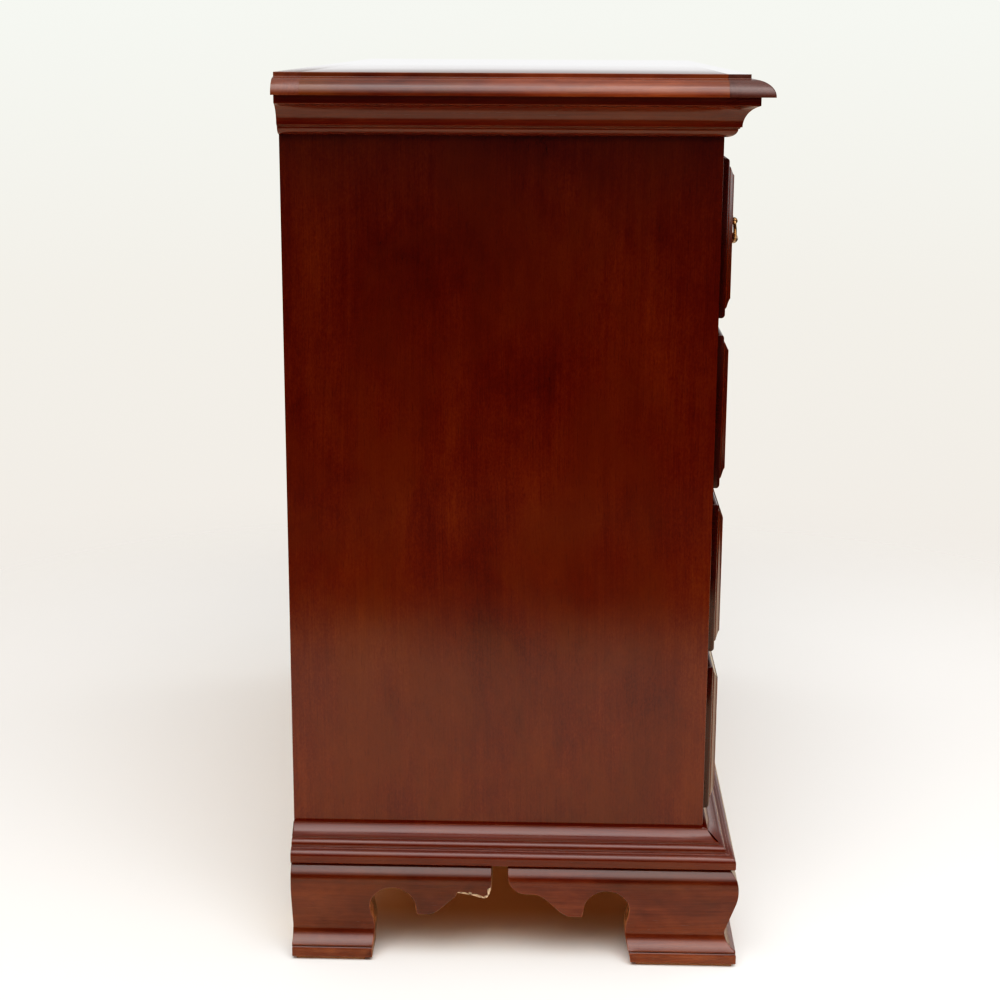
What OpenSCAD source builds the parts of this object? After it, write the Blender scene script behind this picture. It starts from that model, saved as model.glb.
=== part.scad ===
// Chest of drawers: two short drawers over three long ones, moulded top,
// cove cornice, moulded base and ogee bracket feet.
// Millimetres. +Z up, the front faces -Y, left is -X, floor at Z = 0.
// The origin is on the floor under the middle of the overall box.

/* [Carcass] */
// Width over the two side panels
carcass_w = 900; // [780:10:1000]
// Depth from the front face of the carcass to its back
carcass_d = 431; // [400:1:520]
// Thickness of the side panels
side_t = 18; // [16:1:20]
// Thickness of the back panel
back_t = 6; // [4:1:8]
// Thickness of the bottom board
bottom_t = 18; // [12:1:18]

/* [Top] */
// Overall height, floor to top
total_h = 916; // [910:1:924]
// How far the nose of the top stands out past the carcass
top_over = 44; // [38:1:50]
// How far the top runs past the back panel
top_back_over = 1; // [0:1:6]
// Thickness of the top
top_t = 21; // [18:1:24]
// Width of the board glued on along the back of the top
back_strip = 27; // [15:1:60]

/* [Drawers] */
// Height of each drawer front over its lips
front_h = 156.5; // [150:0.5:160]
// Distance from one row to the next
row_pitch = 173.2; // [172:0.2:175]
// Height of the bottom edge of the lowest drawer front
row_z0 = 159.4; // [158:0.2:161]
// How far the front lips stand in from the side of the carcass
front_inset = 12; // [8:1:12]
// Gap between the two short drawer fronts
short_gap = 17; // [14:1:24]
// How far the thin lip stands proud of the carcass
lip_t = 7.3; // [5:0.1:9]
// How far the raised field stands proud of the carcass
field_t = 13.3; // [11:0.1:16]
// Length of the drawer boxes behind the carcass front
box_len = 400; // [300:10:400]
// Thickness of the drawer sides and backs
box_t = 12; // [9:1:14]

/* [Base and feet] */
// Height of the feet, floor to the underside of the base moulding
foot_h = 108.4; // [100:0.2:112]
// Length of each foot bracket, from the carcass corner
bracket_len = 203.8; // [195:0.2:206]
// Height of the thin bare sole under each foot
sole_h = 3; // [2:0.5:4]

/* [Handles] */
// Distance between the two posts of a handle
post_gap = 50; // [40:1:60]
// Height of the posts above the middle of the drawer front
post_up = 10.2; // [0:0.2:16]
// Distance from the front's field to the axis of the bail
bail_out = 7; // [6:0.5:9]
// Drop from the bail's axis to the middle of its grip
bail_drop = 20; // [16:1:26]
// Radius of the pins at the ends of the bail
pin_r = 1.5; // [1.2:0.1:1.8]
// Radial clearance of those pins in the posts
pin_clear = 0.06; // [0.03:0.01:0.1]

/* [Hidden] */
$fn = 48;
half_w = carcass_w / 2;
front_y = -(carcass_d + top_over + top_back_over) / 2 + top_over; // carcass front plane
back_y = front_y + carcass_d;                                     // carcass back plane
top_under = total_h - top_t;                                      // underside of the top
carcass_h = top_under - foot_h;
open_half = half_w - side_t;         // half width between the side panels
lap = 4;                             // lap of the lips over the rails and divider
divider_half = short_gap / 2 + lap;
over = 1;                            // overshoot of cutters

// colours
mahogany = [0.30, 0.09, 0.05];
strip_brown = [0.31, 0.13, 0.09];
pale_wood = [0.76, 0.60, 0.40];
ply = [0.62, 0.47, 0.31];
brass = [0.66, 0.50, 0.25];

// ---------- helpers ----------
// points on an elliptical arc of radii rx and rz, from angle a0 to a1
function arc(cx, cz, rx, rz, a0, a1, n = 10) =
  [for (i = [0:n]) let (a = a0 + (a1 - a0) * i / n) [cx + rx * cos(a), cz + rz * sin(a)]];
function smooth(t) = t * t * (3 - 2 * t);
// a symmetric section: half laid inward or outward from start, then mirrored back from end
function two_ended(half, start, end) = concat(
  [for (q = half) [start + q[0], q[1]]],
  [for (i = [len(half) - 1:-1:0]) [end - half[i][0], half[i][1]]]);

module both_sides() for (s = [0, 1]) mirror([s, 0, 0]) children();

// Profiles are polygons of [out, z], out standing out from the carcass face.
// run_front lays one along the front, run_left along the left side.
run_reach = 40; // runs go this far past the front corners
module run_front(length) translate([-length / 2, front_y, 0]) rotate([90, 0, 90])
  linear_extrude(height = length) mirror([1, 0]) children();
module run_left(back, front) translate([-half_w, back, 0]) rotate([90, 0, 0])
  linear_extrude(height = back - front) mirror([1, 0]) children();

// mitre wedges: the ground each run keeps at the front corners,
// reaching reach out from the carcass and mitre_in behind its faces
mitre_in = 60;
module wedge_front(reach, height) translate([0, 0, -over]) linear_extrude(height = height)
  polygon([[-half_w + mitre_in, front_y + mitre_in], [-half_w - reach, front_y - reach],
    [half_w + reach, front_y - reach], [half_w - mitre_in, front_y + mitre_in]]);
module wedge_left(reach, height) translate([0, 0, -over]) linear_extrude(height = height)
  polygon([[-half_w + mitre_in, front_y + mitre_in], [-half_w - reach, front_y - reach],
    [-half_w - reach, back_y + 20], [-half_w + mitre_in, back_y + 20]]);

// a mitred moulding along the front or the left side
module moulding_front() intersection() {
  run_front(carcass_w + 2 * run_reach) children();
  wedge_front(reach = run_reach, height = 1000);
}
module moulding_left() intersection() {
  run_left(back_y, front_y - run_reach) children();
  wedge_left(reach = run_reach, height = 1000);
}

// ---------- top ----------
strip_y = back_y + top_back_over - back_strip; // joint of the back strip

// [out, z] of the moulded edge, from the top down
nose = concat(
  [[top_over - 22, total_h], [top_over - 22, total_h - 4.2], [top_over - 21, total_h - 4.6]],
  arc(top_over - 21, total_h - 20.5, 21, 15.9, 88, 0, 12),
  [[top_over, top_under]]);

// slab with both ends moulded, between y0 and y1
module top_slab(y0, y1)
  translate([0, y1, 0]) rotate([90, 0, 0]) linear_extrude(height = y1 - y0)
    polygon(two_ended(nose, half_w, -half_w));

module top_board() color(mahogany) top_slab(front_y, strip_y);
module top_back_strip() color(strip_brown) top_slab(strip_y, back_y + top_back_over);
module top_front_strip() color(strip_brown) intersection() {
  top_slab(front_y - top_over - over, front_y);
  run_front(2 * (half_w + top_over + over))
    polygon(concat([[0, top_under], [0, total_h]], nose));
}

// ---------- cornice ----------
cornice_h = 38.6;

// from the bottom up: quarter round, fillet, cove, top fillet
module cornice_profile() polygon(concat(
  [[0, top_under - cornice_h + 0.6], [0.6, top_under - cornice_h]],
  arc(0.6, top_under - 30.4, 11.4, 8.2, -90, 0, 8),
  [[13.6, top_under - 30.2], [13.6, top_under - 28.7], [15.5, top_under - 28.7]],
  arc(36.8, top_under - 28.7, 21.3, 21.3, 179, 106, 12),
  [[31.1, top_under - 7.8], [31.1, top_under], [0, top_under]]));

module cornice_front() color(mahogany) moulding_front() cornice_profile();
module cornice_left() color(mahogany) moulding_left() cornice_profile();
module cornice_right() mirror([1, 0, 0]) cornice_left();

// ---------- carcass ----------
rebate = 8;      // width of the side panels' rebate for the back panel
rail_d = 70;     // depth of the rails and divider
top_rail_d = 22;
rail_h = row_pitch - front_h + 2 * lap;
runner_h = 18;
runner_w = 24;
runner_ledge = 18; // middle runner's width past each side of the divider
guide_h = 22;
guide_clear = 0.5; // guide's set-back from each side of the divider
inner_d = carcass_d - back_t;
top_row = 3;       // the row of short drawers, row 0 being the lowest

function row_bottom(row) = row_z0 + row * row_pitch;
function rail_top(row) = row_bottom(row) + lap; // rail under that row
function rail_bottom(row) = rail_top(row) - rail_h;

module side_panel_left() color(mahogany) difference() {
  translate([-half_w, front_y, foot_h]) cube([side_t, carcass_d, carcass_h]);
  translate([-open_half - rebate, back_y - back_t, foot_h - over])
    cube([rebate + over, back_t + over, carcass_h + 2 * over]);
}
module side_panel_right() mirror([1, 0, 0]) side_panel_left();
module back_panel() color(ply)
  translate([-open_half - rebate, back_y - back_t, foot_h])
    cube([2 * (open_half + rebate), back_t, carcass_h]);
module bottom_board() color(pale_wood)
  translate([-open_half, front_y, rail_bottom(0) - bottom_t])
    cube([2 * open_half, inner_d, bottom_t]);
module front_rails() color(mahogany) for (row = [0:top_row])
  translate([-open_half, front_y, rail_bottom(row)]) cube([2 * open_half, rail_d, rail_h]);
module top_rail() color(mahogany) {
  rail_z = row_bottom(top_row) + front_h - lap;
  translate([-open_half, front_y, rail_z])
    cube([2 * open_half, top_rail_d, top_under - rail_z]);
}
module divider() color(mahogany)
  translate([-divider_half, front_y, rail_top(top_row)])
    cube([2 * divider_half, rail_d, front_h - 2 * lap]);
module drawer_runners() color(pale_wood) {
  runner_len = inner_d - rail_d;
  runner_y = front_y + rail_d;
  for (row = [0:top_row]) both_sides()
    translate([-open_half, runner_y, rail_top(row) - runner_h])
      cube([runner_w, runner_len, runner_h]);
  // the middle runner under the two short drawers, and its guide
  translate([-divider_half - runner_ledge, runner_y, rail_top(top_row) - runner_h])
    cube([2 * (divider_half + runner_ledge), runner_len, runner_h]);
  translate([-divider_half + guide_clear, runner_y, rail_top(top_row)])
    cube([2 * (divider_half - guide_clear), runner_len, guide_h]);
}

// ---------- base moulding ----------
base_h = 34.5;

// from the bottom up: rounded edge, fillet, small round, cove
module base_profile() polygon(concat(
  [[0, foot_h], [30.8, foot_h]],
  arc(31.2, foot_h + 2.1, 2.1, 2.1, -90, 0, 4),
  arc(26.5, foot_h + 7.6, 6.8, 6.8, 0, 90, 8),
  [[26.5, foot_h + 15.4], [23.3, foot_h + 15.4], [23.3, foot_h + 16.8]],
  arc(17.4, foot_h + 16.8, 5.7, 5.5, 0, 90, 6),
  [[16.9, foot_h + 22.3], [16.9, foot_h + 24.1]],
  arc(16, foot_h + 34.9, 10.8, 10.8, 270, 186, 8),
  [[4.9, foot_h + base_h], [0, foot_h + base_h]]));

module base_moulding_front() color(mahogany) moulding_front() base_profile();
module base_moulding_left() color(mahogany) moulding_left() base_profile();
module base_moulding_right() mirror([1, 0, 0]) base_moulding_left();

// ---------- feet ----------
bracket_in = 6;        // inner face of the brackets, in from the carcass face
cut_reach = 50;        // reach of the bracket cutters either side of that face
foot_wedge_h = 200;
back_corner_in = 6.5;  // back brackets' corner, forward of the carcass back
block_w = 42;
block_z = sole_h + 3;  // underside of the blocks and braces
brace_t = 18;
sole_out = 32;         // outer edge of the soles, out from the carcass
sole_len = 68;         // front soles' length in from the carcass corner
upper_z = 85.2;        // centre height and radius of the ogee's upper round
upper_r = 51.7;

// [out, z] of the ogee, from the sole up
module ogee_profile() polygon(concat(
  [[-bracket_in, sole_h], [33.7, sole_h]],
  arc(33.7, sole_h + 2.5, 2.5, 2.5, -80, 0, 4),
  [[36.2, 13.4], [35.5, 14.6], [34.7, 15.3], [35.7, 16.1], [35.7, 17.6]],
  arc(36, 34, 11.8, 11.8, 225, 163.4, 8),
  arc(-15, upper_z, upper_r, upper_r, -16.6, asin((foot_h - upper_z) / upper_r), 12),
  [[-bracket_in, foot_h]]));

// pierced bracket outline, [distance from the carcass corner, z]
function bracket_outline(end_round) = concat(
  [[-cut_reach, sole_h - 1], [72.6, sole_h - 1], [73.4, sole_h + 2], [75.4, 14], [76.2, 16]],
  [[78.6, 24], [80.3, 31], [80.3, 37], [79.2, 45], [77.4, 53]],
  arc(100, 61, 23.6, 23, 183, 4, 16),
  [[124.2, 57], [125.6, 50.9]],
  [for (i = [0:10]) [129 + 39 * i / 10, 50.6 + 28.3 * smooth(i / 10)]],
  end_round
    ? concat([[bracket_len - 20, 78.9]], arc(bracket_len - 20, 98.8, 20, 19.9, -82, 0, 8))
    : [[bracket_len - 30, 79.4], [bracket_len, 81.5]],
  [[bracket_len, foot_h], [-cut_reach, foot_h]]);

// a bracket along the left side, its corner at the front
module bracket_side(end_round) intersection() {
  run_left(front_y + bracket_len + over, front_y - run_reach) ogee_profile();
  translate([-half_w + cut_reach, front_y, 0]) rotate([90, 0, -90]) mirror([1, 0, 0])
    linear_extrude(height = 2 * cut_reach) polygon(bracket_outline(end_round));
}
module foot_front_left_side() color(mahogany) intersection() {
  bracket_side(end_round = true);
  wedge_left(reach = cut_reach, height = foot_wedge_h);
}
module foot_front_left_face() color(mahogany) intersection() {
  run_front(carcass_w + 2 * run_reach) ogee_profile();
  translate([-half_w, front_y + cut_reach, 0]) rotate([90, 0, 0])
    linear_extrude(height = 2 * cut_reach) polygon(bracket_outline(end_round = true));
  wedge_front(reach = cut_reach, height = foot_wedge_h);
}
module foot_front_right_side() mirror([1, 0, 0]) foot_front_left_side();
module foot_front_right_face() mirror([1, 0, 0]) foot_front_left_face();

// the back feet are side brackets turned round, cut flush with the back
module foot_back_left() color(mahogany) intersection() {
  translate([0, front_y + back_y - back_corner_in, 0]) mirror([0, 1, 0])
    bracket_side(end_round = false);
  translate([-half_w - 60, front_y, 0]) cube([120, carcass_d, 200]);
}
module foot_back_right() mirror([1, 0, 0]) foot_back_left();

// corner blocks, and the plain braces across the back
module foot_blocks() color(pale_wood) both_sides() {
  for (y = [front_y + bracket_in, back_y - brace_t - block_w])
    translate([-half_w + bracket_in, y, block_z]) cube([block_w, block_w, foot_h - block_z]);
  translate([-half_w + bracket_in, back_y, 0]) rotate([90, 0, 0])
    linear_extrude(height = brace_t)
      polygon(concat([[0, block_z], [62, block_z], [66, 50]],
        arc(106, 50, 40, 34, 180, 90, 8), [[150, 84], [150, foot_h], [0, foot_h]]));
}
// L-shaped soles at the front, straight ones at the back
module foot_soles() color(pale_wood) both_sides() {
  outer_x = -half_w - sole_out;
  inner_x = -half_w + bracket_in;
  end_x = -half_w + sole_len;
  outer_y = front_y - sole_out;
  inner_y = front_y + bracket_in;
  end_y = front_y + sole_len;
  linear_extrude(height = sole_h) polygon([[outer_x, outer_y], [end_x, outer_y],
    [end_x, inner_y], [inner_x, inner_y], [inner_x, end_y], [outer_x, end_y]]);
  translate([outer_x, back_y - 77, 0]) cube([sole_out + bracket_in, 73, sole_h]);
}

// ---------- drawers ----------
// numbers 1 and 2 are the short ones, left and right; 3 to 5 the long ones, top down
lips_half = half_w - front_inset;
box_clear = 1.5;                   // gap beside a drawer box
box_half = open_half - box_clear;
side_h = front_h - 2 * lap - 4;
lip_round = 3.6;
field_in = 9.2;                    // foot of the field's slope, in from the lip edge
slope_w = 8.2;                     // width of the field's sloped border
groove = 5;                        // depth of the groove for the drawer bottom
drawer_bottom_t = 6;
drawer_bottom_up = 10;             // its height above the sides' lower edge
back_drop = 6;                     // top of the drawer back below the sides
tail_len = 10;
tail_count = 4;
post_hole_r = 2.3;
left_share = 0.25;                 // handle centres, as shares of the front's width
right_share = 0.75;

function row_of(n) = n <= 2 ? top_row : 5 - n;
function lip_left(n) = n == 2 ? short_gap / 2 : -lips_half;
function lip_right(n) = n == 1 ? -short_gap / 2 : lips_half;
function box_left(n) = n == 2 ? divider_half + box_clear : -box_half;
function box_right(n) = n == 1 ? -divider_half - box_clear : box_half;
function box_w(n) = box_right(n) - box_left(n);
function front_z(n) = row_bottom(row_of(n));
function side_z(n) = front_z(n) + lap;
function handle_x(n, share) = lip_left(n) + (lip_right(n) - lip_left(n)) * share;
function post_z(n) = front_z(n) + front_h / 2 + post_up;

// [in from the lip edge, out from the carcass] from the lip to the field
front_edge = concat(
  [[0, 0], [0, lip_t - lip_round]],
  arc(lip_round, lip_t - lip_round, lip_round, lip_round, 170, 90, 6),
  [[field_in - 0.9, lip_t], [field_in - 0.6, lip_t + 1.2], [field_in + 0.8, lip_t + 2.1],
   [field_in + slope_w * 0.45, lip_t + 3.4], [field_in + slope_w * 0.8, lip_t + 4.9],
   [field_in + slope_w, field_t]]);

// dovetails at the front end of the side whose left face is at x, wider to the front;
// grow lengthens them to the back
module tails(n, x, grow = 0)
  translate([x, front_y + box_t - tail_len, 0]) rotate([90, 0, 90])
    linear_extrude(height = box_t) {
      pitch = side_h / tail_count;
      for (i = [0:tail_count - 1]) let (z = side_z(n) + (i + 0.5) * pitch)
        polygon([[tail_len + grow, z - pitch * 0.25], [tail_len + grow, z + pitch * 0.25],
          [0, z + pitch * 0.36], [0, z - pitch * 0.36]]);
    }
// slab the width and thickness of the drawer bottom, y measured from the carcass front
module bottom_slab(n, y, depth)
  translate([box_left(n) + box_t - groove, front_y + y, side_z(n) + drawer_bottom_up])
    cube([box_w(n) - 2 * (box_t - groove), depth, drawer_bottom_t]);
module at_posts(n, y) for (share = [left_share, right_share], s = [-1, 1])
  translate([handle_x(n, share) + s * post_gap / 2, y, post_z(n)]) children();

module drawer_front(n) color(mahogany) difference() {
  union() {
    // the upright section and the level section, crossed
    intersection() {
      translate([lip_left(n) - over, front_y, 0]) rotate([90, 0, 90])
        linear_extrude(height = lip_right(n) - lip_left(n) + 2 * over)
          polygon([for (q = two_ended(front_edge, front_z(n), front_z(n) + front_h))
            [-q[1], q[0]]]);
      translate([0, front_y, front_z(n) - over]) linear_extrude(height = front_h + 2 * over)
        polygon([for (q = two_ended(front_edge, lip_left(n), lip_right(n))) [q[0], -q[1]]]);
    }
    translate([box_left(n), front_y, side_z(n) + 1]) cube([box_w(n), box_t, side_h - 1]);
  }
  // sockets for the dovetails, the groove for the bottom, holes for the posts
  tails(n, box_left(n), over);
  tails(n, box_right(n) - box_t, over);
  bottom_slab(n, y = box_t - groove, depth = groove + over);
  at_posts(n, front_y - 20) rotate([-90, 0, 0]) cylinder(r = post_hole_r, h = 50, $fn = 24);
}
module drawer_sides(n) color(pale_wood)
  for (x = [box_left(n), box_right(n) - box_t]) difference() {
    union() {
      translate([x, front_y + box_t, side_z(n)]) cube([box_t, box_len - box_t, side_h]);
      // the bottom's groove runs on through the tails
      difference() {
        tails(n, x);
        bottom_slab(n, y = 0, depth = box_t);
      }
    }
    bottom_slab(n, y = box_t - over, depth = box_len);
  }
module drawer_back(n) color(pale_wood) {
  rise = drawer_bottom_up + drawer_bottom_t; // the back stands on the bottom
  translate([box_left(n) + box_t, front_y + box_len - box_t, side_z(n) + rise])
    cube([box_w(n) - 2 * box_t, box_t, side_h - rise - back_drop]);
}
module drawer_bottom(n) color(ply)
  bottom_slab(n, y = box_t - groove, depth = box_len - box_t + groove);

// ---------- handles ----------
head_r = 3.7;
shank_r = 2.2;
shank_len = field_t + box_t + 5;
neck_len = bail_out - 2.2;
arm_side = 6;    // the arms swing this far outside the posts, the grip ends this far inside
pin_in = 4.5;    // inner end of the pins, in from the post's axis
grip_out = 1.5;  // grip's axis in front of the pins' axis

// [share of the grip's length, radius]
grip_stations = [[0, 1.4], [0.12, 2.1], [0.24, 3.3], [0.38, 4.8], [0.5, 5.4],
  [0.62, 4.8], [0.76, 3.3], [0.88, 2.1], [1, 1.4]];

// a post stands at the origin, out along -Y from the field; its outline is [radius, out]
module post() difference() {
  union() {
    rotate([90, 0, 0]) rotate_extrude($fn = 32)
      polygon([[0, -shank_len], [shank_r, -shank_len], [shank_r, 0], [8, 0], [8, 0.9],
        [7.2, 1.5], [5.2, 1.8], [4.4, 2.6], [2.6, 3.2], [2.4, neck_len], [0, neck_len]]);
    translate([0, -bail_out, 0]) rotate([0, 0, 40]) sphere(r = head_r, $fn = 32);
  }
  translate([-20, -bail_out, 0]) rotate([0, 90, 0])
    cylinder(r = pin_r + pin_clear, h = 40, $fn = 32);
}
// hexagonal nut against the inside of the drawer front
module nut() translate([0, field_t + box_t, 0]) rotate([-90, 0, 0]) difference() {
  cylinder(r = 5, h = 3.2, $fn = 6);
  translate([0, 0, -1]) cylinder(r = post_hole_r, h = 6, $fn = 24);
}
module drawer_posts(n) color(brass) at_posts(n, front_y - field_t) {
  post();
  nut();
}

module rod(start, end) let (d = end - start, length = norm(d))
  translate(start) rotate([0, acos(d[2] / length), atan2(d[1], d[0])])
    cylinder(r = pin_r, h = length, $fn = 24);
module knuckle(at) translate(at) rotate([35, 20, 0]) sphere(r = pin_r + 0.35, $fn = 24);
// right half of the bail: the pin, then the arm bowing out around the post
module bail_half() {
  post_x = post_gap / 2;
  path = [[post_x - pin_in, 0, 0], [post_x + arm_side, 0, 0],
    [post_x + arm_side, -0.8, -9], [post_x - arm_side, -grip_out, -bail_drop]];
  for (i = [1:3]) {
    rod(path[i - 1], path[i]);
    knuckle(path[i]);
  }
}
module grip() {
  length = post_gap - 2 * arm_side;
  translate([-length / 2, -grip_out, -bail_drop]) rotate([0, 90, 0]) rotate([0, 0, 50])
    rotate_extrude($fn = 32) polygon(concat([[0, 0]],
      [for (station = grip_stations) [station[1], station[0] * length]], [[0, length]]));
}
// the bail hangs from its pins' axis
module bail(n, share) color(brass)
  translate([handle_x(n, share), front_y - field_t - bail_out, post_z(n)]) {
    both_sides() bail_half();
    grip();
  }

top_board();
top_front_strip();
top_back_strip();
cornice_front();
cornice_left();
cornice_right();
side_panel_left();
side_panel_right();
back_panel();
bottom_board();
top_rail();
front_rails();
divider();
drawer_runners();
base_moulding_front();
base_moulding_left();
base_moulding_right();
foot_front_left_side();
foot_front_left_face();
foot_front_right_side();
foot_front_right_face();
foot_back_left();
foot_back_right();
foot_blocks();
foot_soles();
drawer_front(1);  // drawer_1_front
drawer_sides(1);  // drawer_1_sides
drawer_back(1);  // drawer_1_back
drawer_bottom(1);  // drawer_1_bottom
drawer_posts(1);  // drawer_1_posts
drawer_front(2);  // drawer_2_front
drawer_sides(2);  // drawer_2_sides
drawer_back(2);  // drawer_2_back
drawer_bottom(2);  // drawer_2_bottom
drawer_posts(2);  // drawer_2_posts
drawer_front(3);  // drawer_3_front
drawer_sides(3);  // drawer_3_sides
drawer_back(3);  // drawer_3_back
drawer_bottom(3);  // drawer_3_bottom
drawer_posts(3);  // drawer_3_posts
drawer_front(4);  // drawer_4_front
drawer_sides(4);  // drawer_4_sides
drawer_back(4);  // drawer_4_back
drawer_bottom(4);  // drawer_4_bottom
drawer_posts(4);  // drawer_4_posts
drawer_front(5);  // drawer_5_front
drawer_sides(5);  // drawer_5_sides
drawer_back(5);  // drawer_5_back
drawer_bottom(5);  // drawer_5_bottom
drawer_posts(5);  // drawer_5_posts
bail(1, left_share);  // drawer_1_bail_left
bail(1, right_share);  // drawer_1_bail_right
bail(2, left_share);  // drawer_2_bail_left
bail(2, right_share);  // drawer_2_bail_right
bail(3, left_share);  // drawer_3_bail_left
bail(3, right_share);  // drawer_3_bail_right
bail(4, left_share);  // drawer_4_bail_left
bail(4, right_share);  // drawer_4_bail_right
bail(5, left_share);  // drawer_5_bail_left
bail(5, right_share);  // drawer_5_bail_right
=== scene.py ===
import math

import bmesh
import bpy
import numpy as np
from mathutils import Matrix, Vector, geometry, noise


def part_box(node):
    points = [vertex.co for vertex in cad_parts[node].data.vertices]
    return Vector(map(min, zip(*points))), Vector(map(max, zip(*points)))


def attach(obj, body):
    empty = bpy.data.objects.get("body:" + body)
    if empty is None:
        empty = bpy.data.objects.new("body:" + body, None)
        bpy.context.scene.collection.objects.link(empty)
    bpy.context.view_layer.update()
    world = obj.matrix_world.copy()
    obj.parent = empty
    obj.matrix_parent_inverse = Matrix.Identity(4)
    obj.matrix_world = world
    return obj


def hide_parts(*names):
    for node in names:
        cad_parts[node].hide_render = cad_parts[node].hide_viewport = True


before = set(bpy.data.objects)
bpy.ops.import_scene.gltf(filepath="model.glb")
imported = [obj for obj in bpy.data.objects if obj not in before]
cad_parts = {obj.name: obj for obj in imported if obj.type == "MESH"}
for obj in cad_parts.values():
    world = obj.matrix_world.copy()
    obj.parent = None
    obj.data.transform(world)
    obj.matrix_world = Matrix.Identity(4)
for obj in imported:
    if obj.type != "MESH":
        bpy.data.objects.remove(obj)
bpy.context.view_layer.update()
MM = 0.001


# ------------------------------------------------------------------ sizes from the frame, in mm
def box_mm(node):
    """The lowest and the highest corner of a node."""
    return [[c * 1000 for c in corner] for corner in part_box(node)]


MIN, MAX = 0, 1
X, Y, Z = 0, 1, 2


def limit(node, corner, axis):
    return round(box_mm(node)[corner][axis], 3)


HALF_W = -limit("side_panel_left", MIN, X)
FRONT = limit("side_panel_left", MIN, Y)                 # front plane of the carcass
BACK = limit("side_panel_left", MAX, Y)                  # back plane of the carcass
BASE_Z = limit("side_panel_left", MIN, Z)                # underside of the base moulding
UNDER_TOP = limit("side_panel_left", MAX, Z)             # underside of the top
TOP_Z = limit("top_board", MAX, Z)
OVERHANG = -limit("top_board", MIN, X) - HALF_W          # nose of the top, past the carcass
BACK_STRIP_Y = limit("top_back_strip", MIN, Y)
TOP_BACK_Y = limit("top_back_strip", MAX, Y)
BASE_H = limit("base_moulding_left", MAX, Z) - BASE_Z
SOLE_Z = limit("foot_soles", MAX, Z)                     # top of the soles under the feet
BRACKET = limit("foot_front_left_side", MAX, Y) - FRONT  # bracket length from the corner
REAR_SETBACK = 6.5                                       # rear brackets' origin, from the back
REAR_ORIGIN = (BACK - FRONT) - REAR_SETBACK              # the same, from the front
REAR_START = -(BACK - FRONT - REAR_ORIGIN)               # back plane, in a rear bracket's run


# ------------------------------------------------------------------ outlines
def arc(centre_x, centre_z, radius_x, radius_z, start, end, steps=12):
    """Points on an ellipse, angles in degrees."""
    points = []
    for i in range(steps + 1):
        angle = math.radians(start + (end - start) * i / steps)
        points.append((centre_x + radius_x * math.cos(angle),
                       centre_z + radius_z * math.sin(angle)))
    return points


def spline(points, steps=6):
    """Catmull-Rom through the points."""
    out = []
    last = len(points) - 1
    for i in range(last):
        before, here, there, after = (np.array(points[k], float)
                                      for k in (max(i - 1, 0), i, i + 1, min(i + 2, last)))
        for k in range(steps):
            t = k / steps
            spot = 0.5 * (2 * here + (there - before) * t
                          + (2 * before - 5 * here + 4 * there - after) * t * t
                          + (3 * here - before - 3 * there + after) * t ** 3)
            out.append(tuple(spot))
    out.append(tuple(points[-1]))
    return out


SMOOTH_TURN = 24                 # degrees: corners that turn less than this are left alone
WORN, INNER_DARK = 0.35, -0.6        # tone of an outer and of an inner corner


def ease(outline, radius, steps=3, closed=True):
    """Rounds the corners of a counter-clockwise outline. Returns [(x, y, tone)]: tone > 0 on
    outer corners, which wear, and < 0 in inner corners, which are darker."""
    out, count = [], len(outline)
    for i in range(count):
        if not closed and i in (0, count - 1):
            out.append((outline[i][0], outline[i][1], 0.0))
            continue
        before, corner, after = (np.array(outline[(i + k) % count], float) for k in (-1, 0, 1))
        u, v = before - corner, after - corner
        length_u, length_v = np.linalg.norm(u), np.linalg.norm(v)
        if length_u < 1e-9 or length_v < 1e-9:
            continue
        u, v = u / length_u, v / length_v
        cosine = float(np.clip(np.dot(u, v), -1, 1))
        if 180 - math.degrees(math.acos(cosine)) < SMOOTH_TURN:
            out.append((corner[0], corner[1], 0.0))
            continue
        come, go = corner - before, after - corner
        convex = come[0] * go[1] - come[1] * go[0] > 0
        half = math.acos(cosine) / 2
        cut = min(radius / math.tan(half), 0.42 * length_u, 0.42 * length_v)
        fitted = cut * math.tan(half)
        centre = corner + (u + v) / np.linalg.norm(u + v) * (fitted / math.sin(half))
        start = math.atan2(*(corner + u * cut - centre)[::-1])
        end = math.atan2(*(corner + v * cut - centre)[::-1])
        while end - start > math.pi:
            end -= 2 * math.pi
        while end - start < -math.pi:
            end += 2 * math.pi
        for k in range(steps + 1):
            angle = start + (end - start) * k / steps
            tone = (WORN if convex else INNER_DARK) * math.sin(math.pi * k / steps)
            out.append((centre[0] + fitted * math.cos(angle),
                        centre[1] + fitted * math.sin(angle), tone))
    return out


def inset(outline, distance):
    """Moves a closed counter-clockwise outline inwards, point by point."""
    points = np.array([q[:2] for q in outline], float)
    edge = np.roll(points, -1, 0) - points
    edge /= np.maximum(np.linalg.norm(edge, axis=1), 1e-9)[:, None]
    normal = np.stack([-edge[:, 1], edge[:, 0]], 1)
    mean = normal + np.roll(normal, 1, 0)
    mean /= np.maximum(np.linalg.norm(mean, axis=1), 1e-9)[:, None]
    stretch = 1 / np.clip((mean * normal).sum(1), 0.4, 1)
    return points + mean * (distance * stretch)[:, None]


def box_ring(x0, x1, y0, y1, radii, steps=4):
    """A rectangle with rounded corners, counter-clockwise from the lower left."""
    points = []
    corners = (x0, y0, 180), (x1, y0, 270), (x1, y1, 0), (x0, y1, 90)
    for (x, y, start), r in zip(corners, radii):
        side_x = 1 if x == x0 else -1
        side_y = 1 if y == y0 else -1
        points += arc(x + side_x * r, y + side_y * r, r, r, start, start + 90, steps)
    return points


# ------------------------------------------------------------------ meshes
def seed_of(name):
    """A number drawn from the name, which moves the grain of each piece."""
    total = 0
    for char in name:
        total = (total * 31 + ord(char)) % 99991
    return (total % 1000) / 37.0


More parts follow.
